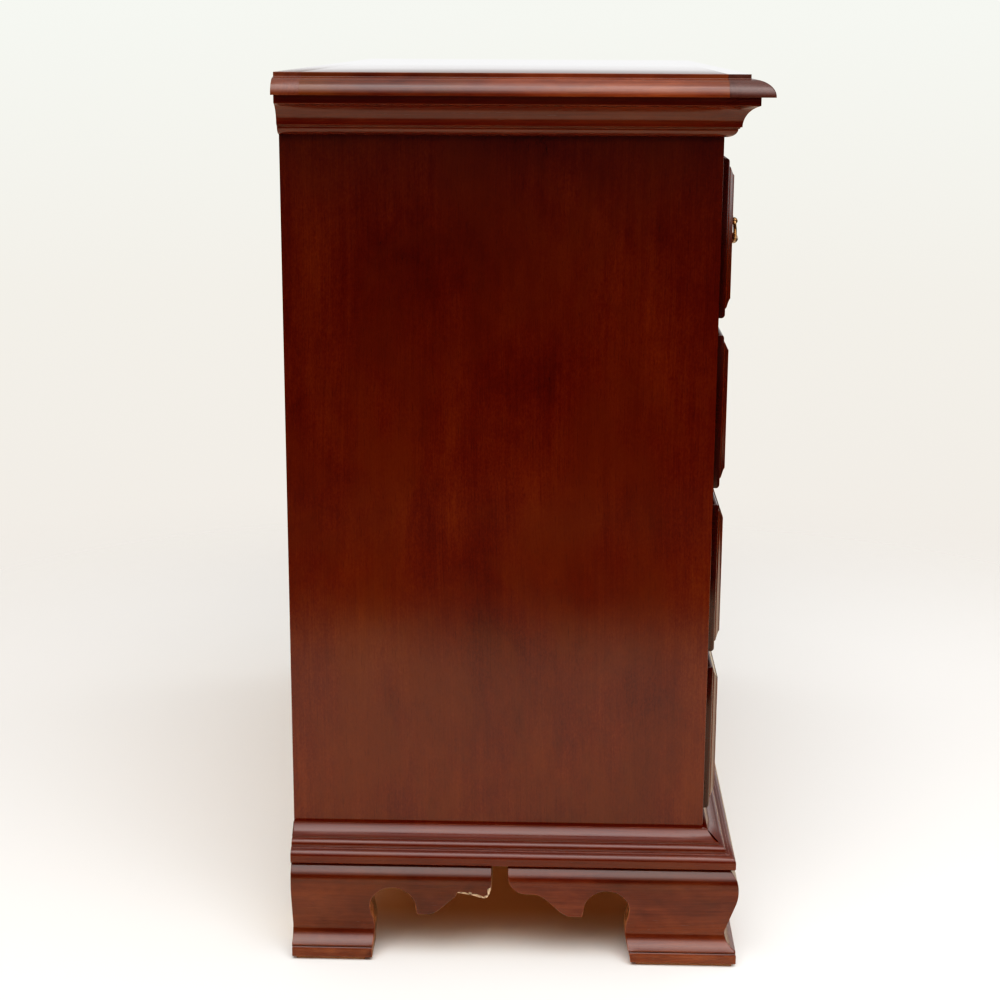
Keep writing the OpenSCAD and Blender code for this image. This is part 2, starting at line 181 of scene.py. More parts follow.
def add_object(name, data):
    ob = bpy.data.objects.new(name, data)
    bpy.context.scene.collection.objects.link(ob)
    return ob


def set_values(mesh, key, values):
    attribute = mesh.attributes.new(key, "FLOAT", "POINT")
    attribute.data.foreach_set("value", np.array(values, np.float32))


def closed_mesh(name, verts, faces, tone=None):
    """A mesh from points in mm, with its normals outwards."""
    mesh = bpy.data.meshes.new(name)
    mesh.from_pydata([tuple(c * MM for c in v) for v in verts], [], faces)
    mesh.validate()
    if tone is not None:
        set_values(mesh, "tone", tone)
    bm = bmesh.new()
    bm.from_mesh(mesh)
    bmesh.ops.recalc_face_normals(bm, faces=bm.faces)
    bm.to_mesh(mesh)
    bm.free()
    return mesh


def helper(verts, faces):
    """A plain solid for a boolean."""
    return add_object("tmp", closed_mesh("tmp", verts, faces))


def shade(mesh, sharp):
    """Smooth shading up to the sharp angle, in degrees."""
    mesh.polygons.foreach_set("use_smooth", [True] * len(mesh.polygons))
    mesh.set_sharp_from_angle(angle=math.radians(sharp))
    mesh.update()


def mount(name, mesh, mats, body, sharp):
    """Shades a finished mesh and makes it an object that moves with a body of the frame."""
    for material in mats:
        mesh.materials.append(material)
    shade(mesh, sharp)
    ob = add_object(name, mesh)
    ob["seed"] = seed_of(name)
    if body:
        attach(ob, body)
    return ob


def make(name, verts, faces, tone, mats=(), body="carcass", sharp=32):
    return mount(name, closed_mesh(name, verts, faces, tone), mats, body, sharp)


def stands_for(ob, node):
    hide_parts(node)


def paint(ob, use_second):
    """Gives the second material to the faces that use_second picks."""
    ob.data.polygons.foreach_set("material_index",
                                 [int(use_second(face)) for face in ob.data.polygons])


def loft(rings, wrap=False):
    """Joins rings of equal length. The ends are capped, or joined to each other by wrap."""
    n, count = len(rings[0]), len(rings)
    verts = [point for ring in rings for point in ring]
    faces = []
    for j in range(count if wrap else count - 1):
        here, there = j * n, (j + 1) % count * n
        for i in range(n):
            k = (i + 1) % n
            faces.append((here + i, here + k, there + k, there + i))
    if not wrap:
        faces.append(tuple(range(n)))
        faces.append(tuple((count - 1) * n + i for i in reversed(range(n))))
    return verts, faces


def end_rings(profile, place, end, inward, radius, steps=3):
    """(ring, tones) pairs that round one end of a run, from its cap to the full profile."""
    out = []
    for i in range(steps + 1):
        angle = math.pi / 2 * i / steps
        shrink = radius * (1 - math.sin(angle))
        back = inward * radius * (1 - math.cos(angle))
        ring = [place(p, z, end(p) + back) for p, z in inset(profile, shrink)]
        out.append((ring, [q[2] - 0.5 * (1 - math.sin(angle)) for q in profile]))
    return out


def run(name, profile, place, ends, mats, node, end_radius=0.3, steps=0):
    """A profile [(p, z, tone)] laid along a run. ends = two functions that give the position
    along the run where the profile stands out by p. place(p, z, t) gives the point in space."""
    pairs = end_rings(profile, place, ends[0], 1, end_radius)
    for i in range(1, steps):
        f = i / steps
        ring = [place(p, z, ends[0](p) * (1 - f) + ends[1](p) * f) for p, z, _ in profile]
        pairs.append((ring, [q[2] for q in profile]))
    pairs += end_rings(profile, place, ends[1], -1, end_radius)[::-1]
    verts, faces = loft([ring for ring, _ in pairs])
    ob = make(name, verts, faces, [tone for _, tones in pairs for tone in tones], mats)
    stands_for(ob, node)
    return ob


def boolean(ob, tools, operation="DIFFERENCE"):
    """Applies the tools to the object and removes them."""
    for tool in tools:
        modifier = ob.modifiers.new("b", "BOOLEAN")
        modifier.operation, modifier.solver, modifier.object = operation, "EXACT", tool
    bpy.context.view_layer.update()
    graph = bpy.context.evaluated_depsgraph_get()
    mesh = bpy.data.meshes.new_from_object(ob.evaluated_get(graph),
                                           preserve_all_data_layers=True, depsgraph=graph)
    ob.modifiers.clear()
    ob.data = mesh
    for tool in tools:
        data = tool.data
        bpy.data.objects.remove(tool)
        bpy.data.meshes.remove(data)


# ------------------------------------------------------------------ shader nodes
class Shader:
    """Fills one node tree. Each method adds nodes and returns an output."""

    def __init__(self, tree):
        self.tree = tree
        tree.nodes.clear()

    def add(self, kind, inputs=None, **props):
        """Adds one node and returns all its outputs."""
        node = self.tree.nodes.new("ShaderNode" + kind)
        for key, value in props.items():
            setattr(node, key, value)
        for key, value in (inputs or {}).items():
            if isinstance(value, bpy.types.NodeSocket):
                self.tree.links.new(value, node.inputs[key])
            else:
                node.inputs[key].default_value = value
        return node.outputs

    def math(self, operation, a, b=0.0, c=0.0, clamp=False):
        return self.add("Math", {0: a, 1: b, 2: c}, operation=operation, use_clamp=clamp)[0]

    def mul(self, a, b):
        return self.math("MULTIPLY", a, b)

    def mul_add(self, value, factor, offset, clamp=False):
        return self.math("MULTIPLY_ADD", value, factor, offset, clamp)

    def sub(self, a, b):
        return self.math("SUBTRACT", a, b)

    def max(self, a, b):
        return self.math("MAXIMUM", a, b)

    def weigh(self, start, *parts):
        """start, or nothing if it is None, plus every (value, weight)."""
        total = start
        for value, weight in parts:
            if total is None:
                total = self.mul(value, weight)
            else:
                total = self.mul_add(value, weight, total)
        return total

    def vector(self, operation, a, b):
        return self.add("VectorMath", {0: a, 1: b}, operation=operation)[0]

    def attribute(self, name, kind="GEOMETRY"):
        return self.add("Attribute", attribute_type=kind, attribute_name=name)["Fac"]

    def mix(self, factor, a, b, blend="MIX"):
        a, b = (v if isinstance(v, bpy.types.NodeSocket) else tuple(v) + (1.0,) for v in (a, b))
        return self.add("Mix", {0: factor, 6: a, 7: b}, data_type="RGBA", blend_type=blend,
                        clamp_factor=True)[2]

    def ramp(self, factor, stops):
        """Colour ramp through (position, grey or colour)."""
        node = self.tree.nodes.new("ShaderNodeValToRGB")
        elements = node.color_ramp.elements
        while len(elements) < len(stops):
            elements.new(0.5)
        for element, (position, color) in zip(elements, stops):
            element.position = position
            element.color = (tuple(color) if hasattr(color, "__len__") else (color,) * 3) + (1.0,)
        self.tree.links.new(factor, node.inputs[0])
        return node.outputs[0]

    def remap(self, value, low, high, to_low=0.0, to_high=1.0, kind="SMOOTHSTEP"):
        return self.add("MapRange", {0: value, 1: low, 2: high, 3: to_low, 4: to_high},
                        interpolation_type=kind)[0]

    def noise(self, space, across, along, detail=2.0, rough=0.5, distortion=0.0, output="Fac"):
        """Noise with its own scale across the grain and along it, per metre."""
        scaled = self.vector("MULTIPLY", space, (across, across, along))
        return self.add("TexNoise", {"Vector": scaled, "Scale": 1.0, "Detail": detail,
                                     "Roughness": rough, "Distortion": distortion})[output]

    def bump(self, height):
        return self.add("Bump", {"Strength": 1.0, "Distance": 1.0, "Height": height})[0]

    def principled(self, **inputs):
        """Principled surface, with input names written with underscores."""
        inputs = {key.replace("_", " "): value for key, value in inputs.items()}
        self.surface(self.add("BsdfPrincipled", inputs)[0])

    def surface(self, shader):
        self.add("OutputMaterial", {"Surface": shader})


def new_material(name):
    material = bpy.data.materials.new(name)
    material.use_nodes = True
    return material, Shader(material.node_tree)


def wood_space(sh, axis):
    """Object coordinates turned so that Z runs along the grain, moved by the piece's seed.
    Returns them and the plain coordinates."""
    coords = sh.add("TexCoord")["Object"]
    seed = sh.attribute("seed", "OBJECT")
    x, y, z = sh.add("SeparateXYZ", {0: coords})
    order = {"X": (y, z, x), "Y": (x, z, y), "Z": (x, y, z)}[axis]
    turned = sh.add("CombineXYZ", dict(enumerate(order)))[0]
    offset = sh.add("CombineXYZ", {0: sh.mul(seed, 0.731), 1: sh.mul(seed, 0.417),
                                   2: sh.mul_add(seed, 0.263, 0.0)})[0]
    return sh.vector("ADD", turned, offset), coords


# ------------------------------------------------------------------ materials
# noise: scale across the grain and along it, detail, roughness, distortion
FIGURE_NOISE = {
    "hair": (900, 5.0, 2.0, 0.6),
    "fine": (380, 3.2, 3.0, 0.65),
    "medium": (95, 1.3, 3.0, 0.55),
    "ribbon": (16, 0.45, 2.0, 0.5),
    "cloud": (9, 4.5, 4.0, 0.60, 0.3),
    "flake": (55, 26.0, 4.0, 0.65, 0.4),
    "pores": (1500, 55, 1.0, 0.5),
}
SURFACE_NOISE = {
    "speck": (620, 300, 2.0, 0.7),
    "stain": (7.0, 4.0, 4.0, 0.65, 0.5),
    "scuff": (90, 40, 3.0, 0.6),
    "frayed": (420, 260, 3.0, 0.7),
    "fibre": (900, 90, 3.0, 0.6),
    "swell": (6.0, 2.6, 2.0, 0.5),
    "peel": (420, 260, 2.0, 0.5),
    "rub": (9, 4, 4.0, 0.6),
}
PALE_NOISE = {
    "broad": (42, 0.9, 3.0, 0.55, 0.3),
    "rings": (3.2, 0.9, 3.0),
    "fine": (900, 16, 3.0, 0.6),
    "medium": (160, 3.0, 3.0, 0.6),
    "cloud": (8, 4, 3.0, 0.6),
    "pores": (1400, 50, 1.0, 0.5),
}
WEAR_AND_HIGHLIGHT_COLOR = (0.27, 0.085, 0.030)
RAW_COLORS = [(0.3, (0.34, 0.20, 0.11)), (0.6, (0.66, 0.54, 0.40))]   # bare, broken wood


def mahogany(name, axis, dark=(0.040, 0.0026, 0.0010), mid=(0.070, 0.0070, 0.0010),
             light=(0.104, 0.0165, 0.0018), rough=0.15, gloss=0.9, streak=1.0, mottle=1.0,
             wavy=1.0, contrast=1.7, coat=0.0, hue=1.0, speck=0.0, painted_floor_light=0.0):
    """Polished mahogany. streak, mottle and speck weigh the figure, hue the uneven stain,
    wavy the swell of the lacquer, painted_floor_light the painted light of the floor, brighter low
    down and darker up high."""
    material, sh = new_material(name)
    space, coords = wood_space(sh, axis)

    def surface_noise(key):
        return sh.noise(space, *SURFACE_NOISE[key])

    # the grain wanders slowly across itself
    wander = sh.noise(space, across=2.5, along=1.6, output="Color")
    centred = sh.vector("SUBTRACT", wander, (0.5, 0.5, 0.5))
    grain = sh.vector("ADD", space, sh.vector("MULTIPLY", centred, (0.04, 0.04, 0.0)))
    figure = {key: sh.noise(grain, *shape) for key, shape in FIGURE_NOISE.items()}
    weights = {"hair": 0.30 * streak, "fine": 0.34 * streak, "medium": 0.26 * streak,
               "ribbon": 0.22 * streak, "cloud": 0.62 * mottle, "flake": 0.22 * mottle}
    total = sh.weigh(None, *((sh.sub(figure[key], 0.5), w) for key, w in weights.items()))
    if speck:
        total = sh.weigh(total, (sh.sub(surface_noise("speck"), 0.5), speck))
    level = sh.mul_add(total, factor=contrast, offset=0.47, clamp=True)
    color = sh.ramp(level, [(0.0, dark), (0.47, mid), (1.0, light)])
    # the stain takes unevenly
    stain = sh.remap(surface_noise("stain"), low=0.42, high=0.64)
    stained = (mid[0] * 1.10, mid[1] * 1.75, mid[2] * 0.9)
    color = sh.mix(sh.mul(stain, 0.55 * hue), color, stained)
    pore = sh.remap(figure["pores"], low=0.64, high=0.74)
    color = sh.mix(sh.mul(pore, 0.40), color, tuple(c * 0.6 for c in dark))
    # painted light from the floor: the colour is scaled brighter towards the bottom and darker
    # towards the top
    if painted_floor_light:
        height = sh.add("SeparateXYZ", {0: coords})[2]
        scale = sh.mul_add(height, factor=-painted_floor_light, offset=1.0 + 0.50 * painted_floor_light)
        color = sh.add("VectorMath", {0: color, "Scale": scale}, operation="SCALE")[0]

    # wear on the arrises, and a painted highlight as well on the brackets' pierced edges; darker
    # inner corners and quirks, painted shade on the drawer lips, in the feet's hollows and under
    # the base moulding; bare wood where it broke
    tone = sh.attribute("tone")
    scuff = sh.remap(surface_noise("scuff"), low=0.36, high=0.66, to_low=0.25, to_high=0.85)
    wear_and_highlight = sh.mul(sh.max(tone, 0.0), scuff)
    color = sh.mix(wear_and_highlight, color, WEAR_AND_HIGHLIGHT_COLOR)
    dark_and_painted_shade = sh.mul(sh.max(sh.mul(tone, -1.0), 0.0), 0.7)
    color = sh.mix(dark_and_painted_shade, color, tuple(c * 0.3 for c in dark))
    broken = sh.remap(sh.attribute("raw"), low=0.35, high=0.6)
    bare = sh.mul(broken, sh.remap(surface_noise("frayed"), low=0.37, high=0.47))
    fibre = surface_noise("fibre")
    color = sh.mix(bare, color, sh.ramp(fibre, RAW_COLORS))

    # relief in metres: lacquer that follows the grain a little
    relief = sh.weigh(
        None, (surface_noise("swell"), 0.00030 * wavy), (figure["medium"], 0.0000060),
        (figure["fine"], 0.0000026), (surface_noise("peel"), 0.0000030), (pore, -0.0000050),
        (sh.mul(fibre, bare), 0.0006))
    roughness = sh.weigh(rough - 0.06, (surface_noise("rub"), 0.12), (pore, 0.10), (wear_and_highlight, 0.12))
    roughness = sh.max(roughness, sh.mul(bare, 0.9))
    shine = sh.mul(sh.mul_add(bare, factor=-0.8, offset=1.0), 0.5 * gloss)
    sh.principled(Base_Color=color, Roughness=roughness, Normal=sh.bump(relief), IOR=1.5,
                  Specular_IOR_Level=shine, Coat_Weight=coat, Coat_Roughness=0.03)
    return material


def pale(name, axis, dark, light, rings=False):
    """Unpolished secondary wood; rings gives the broad bands of rotary-cut veneer."""
    material, sh = new_material(name)
    space, _ = wood_space(sh, axis)

    def layer(key):
        return sh.noise(space, *PALE_NOISE[key])

    if rings:
        band = sh.math("FRACT", sh.mul(layer("rings"), 14.0))
        big = sh.mul(sh.math("PINGPONG", band, 0.5), 2.0)
        big_weight, middle = 0.20, 0.50
    else:
        big = layer("broad")
        big_weight, middle = 0.34, 0.57
    fine, medium = layer("fine"), layer("medium")
    figure = sh.weigh(None, (big, big_weight), (fine, 0.22), (medium, 0.26),
                      (layer("cloud"), 0.32))
    level = sh.mul_add(sh.sub(figure, middle), factor=2.0, offset=0.5, clamp=True)
    color = sh.ramp(level, [(0.0, dark), (1.0, light)])
    pores = sh.remap(layer("pores"), low=0.66, high=0.76)
    color = sh.mix(sh.mul(pores, 0.4), color, tuple(c * 0.5 for c in dark))
    relief = sh.weigh(None, (fine, 0.00003), (pores, -0.00003))
    sh.principled(Base_Color=color, Normal=sh.bump(relief), Specular_IOR_Level=0.35,
                  Roughness=sh.mul_add(medium, factor=0.2, offset=0.62 - 0.1))
    return material


def aged_brass(name):
    material, sh = new_material(name)
    coords = sh.add("TexCoord")["Object"]
    tone = sh.attribute("tone")

    def spots(scale, detail=4.0):
        return sh.add("TexNoise", {"Vector": coords, "Scale": scale, "Detail": detail,
                                   "Roughness": 0.6})["Fac"]

    # dark patina, rubbed away where the hand takes hold
    patina = sh.remap(sh.weigh(spots(scale=160.0), (tone, -0.35)), low=0.42, high=0.66)
    color = sh.mix(patina, (0.46, 0.27, 0.12), (0.080, 0.041, 0.019))
    warm = sh.remap(spots(scale=60.0), low=0.4, high=0.62)
    color = sh.mix(sh.mul(warm, 0.35), color, (0.42, 0.21, 0.11))
    scratch = spots(scale=1500.0, detail=2.0)
    relief = sh.weigh(None, (scratch, 0.000004), (spots(scale=700.0), 0.000010))
    sh.principled(Base_Color=color, Normal=sh.bump(relief), Metallic=1.0,
                  Roughness=sh.weigh(0.20, (patina, 0.24), (scratch, 0.10)))
    return material


PANEL = mahogany("mahogany_panel", "Z", dark=(0.036, 0.0024, 0.0010),
                 light=(0.112, 0.0195, 0.0022), streak=0.7, mottle=1.25, speck=0.42, painted_floor_light=0.85,
                 hue=1.15)
PLAIN = {a: mahogany("mahogany_" + a, a, wavy=0.12, contrast=2.0) for a in "XZ"}
MOULD = {a: mahogany("mahogany_mould_" + a, a, dark=(0.045, 0.0034, 0.0012),
                     mid=(0.083, 0.0100, 0.0022), light=(0.130, 0.024, 0.0062), wavy=0.05,
                     contrast=1.8, rough=0.17) for a in "XY"}
TOP = mahogany("mahogany_top_X", "X", coat=1.0, gloss=0.3, wavy=0.02, contrast=2.2)
FOOT = {a: mahogany("mahogany_foot_" + a, a, dark=(0.036, 0.0034, 0.0012),
                    mid=(0.086, 0.0125, 0.0036), light=(0.150, 0.031, 0.0088), streak=0.75,
                    mottle=1.6, contrast=2.2, rough=0.17, wavy=0.08) for a in "XY"}
EDGE = {a: mahogany("mahogany_edge_" + a, a, dark=(0.048, 0.0064, 0.0022),
                    mid=(0.105, 0.0190, 0.0060), light=(0.200, 0.047, 0.0150), mottle=1.9,
                    rough=0.17, wavy=0.06) for a in "XY"}
FRONT_STRIP_LOOK = dict(dark=(0.030, 0.0070, 0.0048), mid=(0.056, 0.0160, 0.0110),
                        light=(0.090, 0.030, 0.021), streak=1.2, mottle=0.6, wavy=0.02, hue=0.3)
FRONT_STRIP = mahogany("mahogany_strip", "X", rough=0.20, **FRONT_STRIP_LOOK)
FRONT_STRIP_TOP = mahogany("mahogany_strip_top", "X", coat=1.0, gloss=0.3, **FRONT_STRIP_LOOK)
BACK_STRIP_LOOK = dict(dark=(0.038, 0.0066, 0.0030), mid=(0.084, 0.0175, 0.0074),
                       light=(0.160, 0.042, 0.017), wavy=0.02)
BACK_STRIP = mahogany("mahogany_back_strip", "X", rough=0.18, **BACK_STRIP_LOOK)
BACK_STRIP_TOP = mahogany("mahogany_back_strip_top", "X", coat=1.0, gloss=0.3,
                          **BACK_STRIP_LOOK)
SECONDARY = {a: pale("secondary_" + a, a, dark=(0.36, 0.20, 0.085), light=(0.60, 0.40, 0.20))
             for a in "XYZ"}
SOLE_WOOD = pale("sole_wood", "Y", dark=(0.20, 0.075, 0.026), light=(0.42, 0.19, 0.080))
PLYWOOD = pale("plywood", "X", dark=(0.24, 0.12, 0.055), light=(0.42, 0.25, 0.125), rings=True)
BRASS = aged_brass("aged_brass")


# ------------------------------------------------------------------ top
NOSE = 22        # width of the moulded edge of the top


def nose():
    """[(past the carcass, z)] from the flat top down to the underside."""
    return ([(OVERHANG - NOSE, TOP_Z), (OVERHANG - NOSE, TOP_Z - 4.2),
             (OVERHANG - 21, TOP_Z - 4.6)]
            + arc(OVERHANG - 21, TOP_Z - 20.5, 21, 15.9, 86, 0, 18) + [(OVERHANG, TOP_Z - 21)])


def top_slab(name, y0, y1, mats, node):
    """Part of the top, with one material on the flat and another on the moulded ends."""
    outline = ([(HALF_W + q, z) for q, z in nose()][::-1] + [(-HALF_W - q, z) for q, z in nose()])
    ob = run(name, ease(outline, 0.5), lambda p, z, t: (p, t, z), (lambda p: y0, lambda p: y1),
             mats, node, end_radius=0.08)
    ends_x = HALF_W + OVERHANG - NOSE - 0.4
    paint(ob, lambda face: abs(face.center.x * 1000) > ends_x)


def top_front_strip():
    """The front edge of the top, moulded on three sides."""
    profile = ease([(0, TOP_Z)] + nose() + [(0, UNDER_TOP)], 0.5, closed=False)[1:-1]
    rings, tones = [], []
    for q, z, tone in ([(OVERHANG - NOSE - 0.6, TOP_Z, 0)] + profile
                       + [(OVERHANG - 0.6, UNDER_TOP, 0)]):
        ring = box_ring(-HALF_W - q, HALF_W + q, FRONT - q, FRONT, (1.6, 1.6, 0.3, 0.3))
        rings.append([(x, y, z) for x, y in ring])
        tones += [tone] * len(ring)
    ob = make("top_front_strip_board", *loft(rings), tones, [FRONT_STRIP_TOP, FRONT_STRIP])
    paint(ob, lambda face: not (face.normal.z > 0.99 and face.center.z * 1000 > TOP_Z - 1))
    stands_for(ob, "top_front_strip")


top_slab("top_board_field", FRONT, BACK_STRIP_Y, [TOP, EDGE["Y"]], "top_board")
top_slab("top_back_strip_board", BACK_STRIP_Y, TOP_BACK_Y, [BACK_STRIP_TOP, BACK_STRIP],
         "top_back_strip")
top_front_strip()


# ------------------------------------------------------------------ mouldings
def cornice_profile():
    """(past the carcass, z): a bead under a cove under a flat band."""
    z = UNDER_TOP
    return ease([(0, z - 38.6), (0.6, z - 38.6)]
                + arc(0.6, z - 30.4, 11.4, 8.2, -84, 0, 12)
                + [(13.6, z - 30.2), (13.6, z - 28.7), (15.5, z - 28.7)]
                + arc(36.8, z - 28.7, 21.3, 21.3, 178, 106, 18)
                + [(31.1, z - 7.8), (31.1, z), (0, z)], 0.9, 4, closed=False)


def base_profile():
    """(past the carcass, z): two rounds under a hollow."""
    z = BASE_Z
    return ease([(0, z), (30.8, z)]
                + arc(31.2, z + 2.1, 2.1, 2.1, -80, -4, 5)
                + arc(26.5, z + 7.6, 6.8, 6.8, 2, 88, 12)
                + [(26.5, z + 15.4), (23.3, z + 15.4), (23.3, z + 16.8)]
                + arc(17.4, z + 16.8, 5.7, 5.5, 0, 86, 9)
                + [(16.9, z + 22.3), (16.9, z + 24.1)]
                + arc(22.55, z + 43.29, 20, 20, 253.6, 208.0, 12)
                + [(4.9, z + BASE_H), (0, z + BASE_H)], 0.9, 4, closed=False)


def moulding(kind, profile):
    """Front and side runs, mitred at the front corners."""
    run(kind + "_front_run", profile, lambda p, z, t: (t, FRONT - p, z),
        (lambda p: -HALF_W - p, lambda p: HALF_W + p), [MOULD["X"]], kind + "_front", steps=24)
    for side, sign in (("left", -1), ("right", 1)):
        run(f"{kind}_{side}_run", profile, lambda p, z, t, sign=sign: (sign * (HALF_W + p), t, z),
            (lambda p: FRONT - p, lambda p: BACK), [MOULD["Y"]], f"{kind}_{side}", steps=12)


moulding("cornice", cornice_profile())
moulding("base_moulding", base_profile())


# ------------------------------------------------------------------ feet
# Pad at the foot of a bracket: z and how far its face stands out, up to the hollow.
PAD = [(SOLE_Z + 2.5, 36.2), (13.4, 36.2), (14.6, 35.5), (15.3, 34.7), (16.1, 35.7), (17.6, 35.7)]
CREASES = [z for z, _ in PAD]
HOLLOW_P, HOLLOW_Z, HOLLOW_R = 36, 34, 11.8     # centre and radius of the hollow
BELLY_P, BELLY_Z, BELLY_R = -15, 85.2, 51.7     # centre and radius of the belly
SHOULDER_R = 45                                 # tighter radius above the belly's widest point


def on_hollow(angle):
    angle = math.radians(angle)
    return HOLLOW_P + HOLLOW_R * math.cos(angle), HOLLOW_Z + HOLLOW_R * math.sin(angle)


def ogee(z):
    """How far the face of a bracket stands out at height z."""
    if z <= SOLE_Z + 2.5:
        return 33.7 + math.sqrt(max(0.0, 2.5 ** 2 - (SOLE_Z + 2.5 - z) ** 2))
    for (z0, p0), (z1, p1) in zip(PAD, PAD[1:]):
        if z <= z1:
            return p0 + (p1 - p0) * (z - z0) / (z1 - z0)
    pad_z, pad_p = PAD[-1]
    low_p, low_z = on_hollow(205)
    if z <= low_z:
        k = (z - pad_z) / (low_z - pad_z)
        return pad_p + (low_p - pad_p) * k - 2.1 * 4 * k * (1 - k)
    high_p, high_z = on_hollow(163.4)
    if z <= high_z:
        return HOLLOW_P - math.sqrt(HOLLOW_R ** 2 - (z - HOLLOW_Z) ** 2)
    tangent = math.radians(-16.6)
    belly_z = BELLY_Z + BELLY_R * math.sin(tangent)
    if z <= belly_z:
        belly_p = BELLY_P + BELLY_R * math.cos(tangent)
        return high_p + (belly_p - high_p) * (z - high_z) / (belly_z - high_z)
    if z <= BELLY_Z:
        return BELLY_P + math.sqrt(BELLY_R ** 2 - (z - BELLY_Z) ** 2)
    p = (BELLY_P + BELLY_R - SHOULDER_R
         + math.sqrt(SHOULDER_R ** 2 - (min(z, 96.0) - BELLY_Z) ** 2))
    u, v = min(max(z - 96.0, 0.0), 4.0), max(z - 100.0, 0.0)
    return p - 0.247 * u - 0.0604 * u * u - 0.73 * v - 0.005 * v * v


# Broken tip of the back left bracket: distance from its end, and z.
BROKEN = [(36, 78.7), (28, 77.6), (19, 75.6), (11, 73.2), (7, 72.3), (4.5, 73.4), (2.2, 77.5),
          (0.9, 82.0), (0, 84.5)]


def underside(front, chip):
    """[(s, z)] along the pierced edge, from the pad's foot to the end of the bracket."""
    k = 1.0 if front else 5.0                   # the pad is wider on the back brackets
    points = spline([(72.6 + k, SOLE_Z), (73.4 + 0.95 * k, SOLE_Z + 2), (75.4 + 0.6 * k, 14),
                     (76.2 + 0.5 * k, 16)], 4)
    points += spline([(76.2 + 0.5 * k, 16), (78.6 + 0.2 * k, 24), (80.3, 31), (80.3, 37),
                      (79.2, 45), (77.4, 53), (76.6, 60)], 6)[1:]
    points += arc(100, 61, 23.6, 23, 178, 4, 34)
    points += [(124.0, 58), (124.6, 54), (125.4, 51.2), (126.3, 50.6)]
    for i in range(21):
        t = i / 20
        points.append((137 + 39 * i / 20, 50.6 + 28.3 * (t * t * (3 - 2 * t))))
    if chip:
        points = [p for p in points if p[0] < BRACKET - 37.5]
        points += [(BRACKET - distance, z) for distance, z in BROKEN]
    elif front:
        points += [(BRACKET - 20, 78.9)] + arc(BRACKET - 20, 98.8, 20, 19.9, -84, 0, 18)
    else:
        points += [(BRACKET - 30, 79.4), (BRACKET, 81.5)]
    return points


def resample(points, step):
    out = [points[0]]
    for a, b in zip(points, points[1:]):
        length = math.hypot(b[0] - a[0], b[1] - a[1])
        n = max(1, int(math.ceil(length / step)))
        for i in range(1, n + 1):
            out.append((a[0] + (b[0] - a[0]) * i / n, a[1] + (b[1] - a[1]) * i / n))
    return out


def bracket_levels():
    """Heights of the rows of points on the face."""
    rows = int((BASE_Z - 19.4) / 1.45) + 1
    return sorted(set(CREASES + [SOLE_Z + 0.35, SOLE_Z + 1.0, SOLE_Z + 1.8]
                      + [round(18.5 + 1.45 * i, 3) for i in range(rows)]))


def bracket_outline(front, chip):
    """Counter-clockwise [(s, z, part)]: underside, end, top, corner end and sole."""
    low = resample(underside(front, chip), 0.9 if chip else 1.6)
    end_z = low[-1][1]
    end = [(BRACKET, z)
           for z in np.linspace(end_z, BASE_Z, max(3, int((BASE_Z - end_z) / 1.6) + 1))][1:]
    heights = [BASE_Z] + [z for z in reversed(bracket_levels()) if SOLE_Z < z < BASE_Z] + [SOLE_Z]
    corner = [(-ogee(z) if front else REAR_START, z) for z in heights]
    top = [(s, BASE_Z) for s in np.linspace(BRACKET, corner[0][0], 60)][1:-1]
    sole = [(s, SOLE_Z) for s in np.linspace(corner[-1][0], low[0][0], 40)][1:-1]
    parts = {"low": low, "end": end, "top": top, "corner": corner, "sole": sole}
    outline = [(s, z, part) for part, points in parts.items() for s, z in points]
    # each crease meets the underside at a point of its own
    dense = []
    for a, b in zip(outline, outline[1:] + outline[:1]):
        dense.append(a)
        if a[2] == "low" and b[2] in ("low", "end"):
            cuts = []
            for z in CREASES:
                if min(a[1], b[1]) + 1e-6 < z < max(a[1], b[1]) - 1e-6:
                    f = (z - a[1]) / (b[1] - a[1])
                    cuts.append((f, (a[0] + f * (b[0] - a[0]), z, "low")))
            dense += [point for _, point in sorted(cuts, key=lambda cut: cut[0])]
    kept = [dense[0]]
    for point in dense[1:]:
        if np.linalg.norm(np.array(point[:2]) - np.array(kept[-1][:2])) > 0.05:
            kept.append(point)
    return kept


EDGE_RADIUS = {"low": 1.3, "end": 0.8, "top": 0.3, "corner": 0.35, "sole": 0.15}


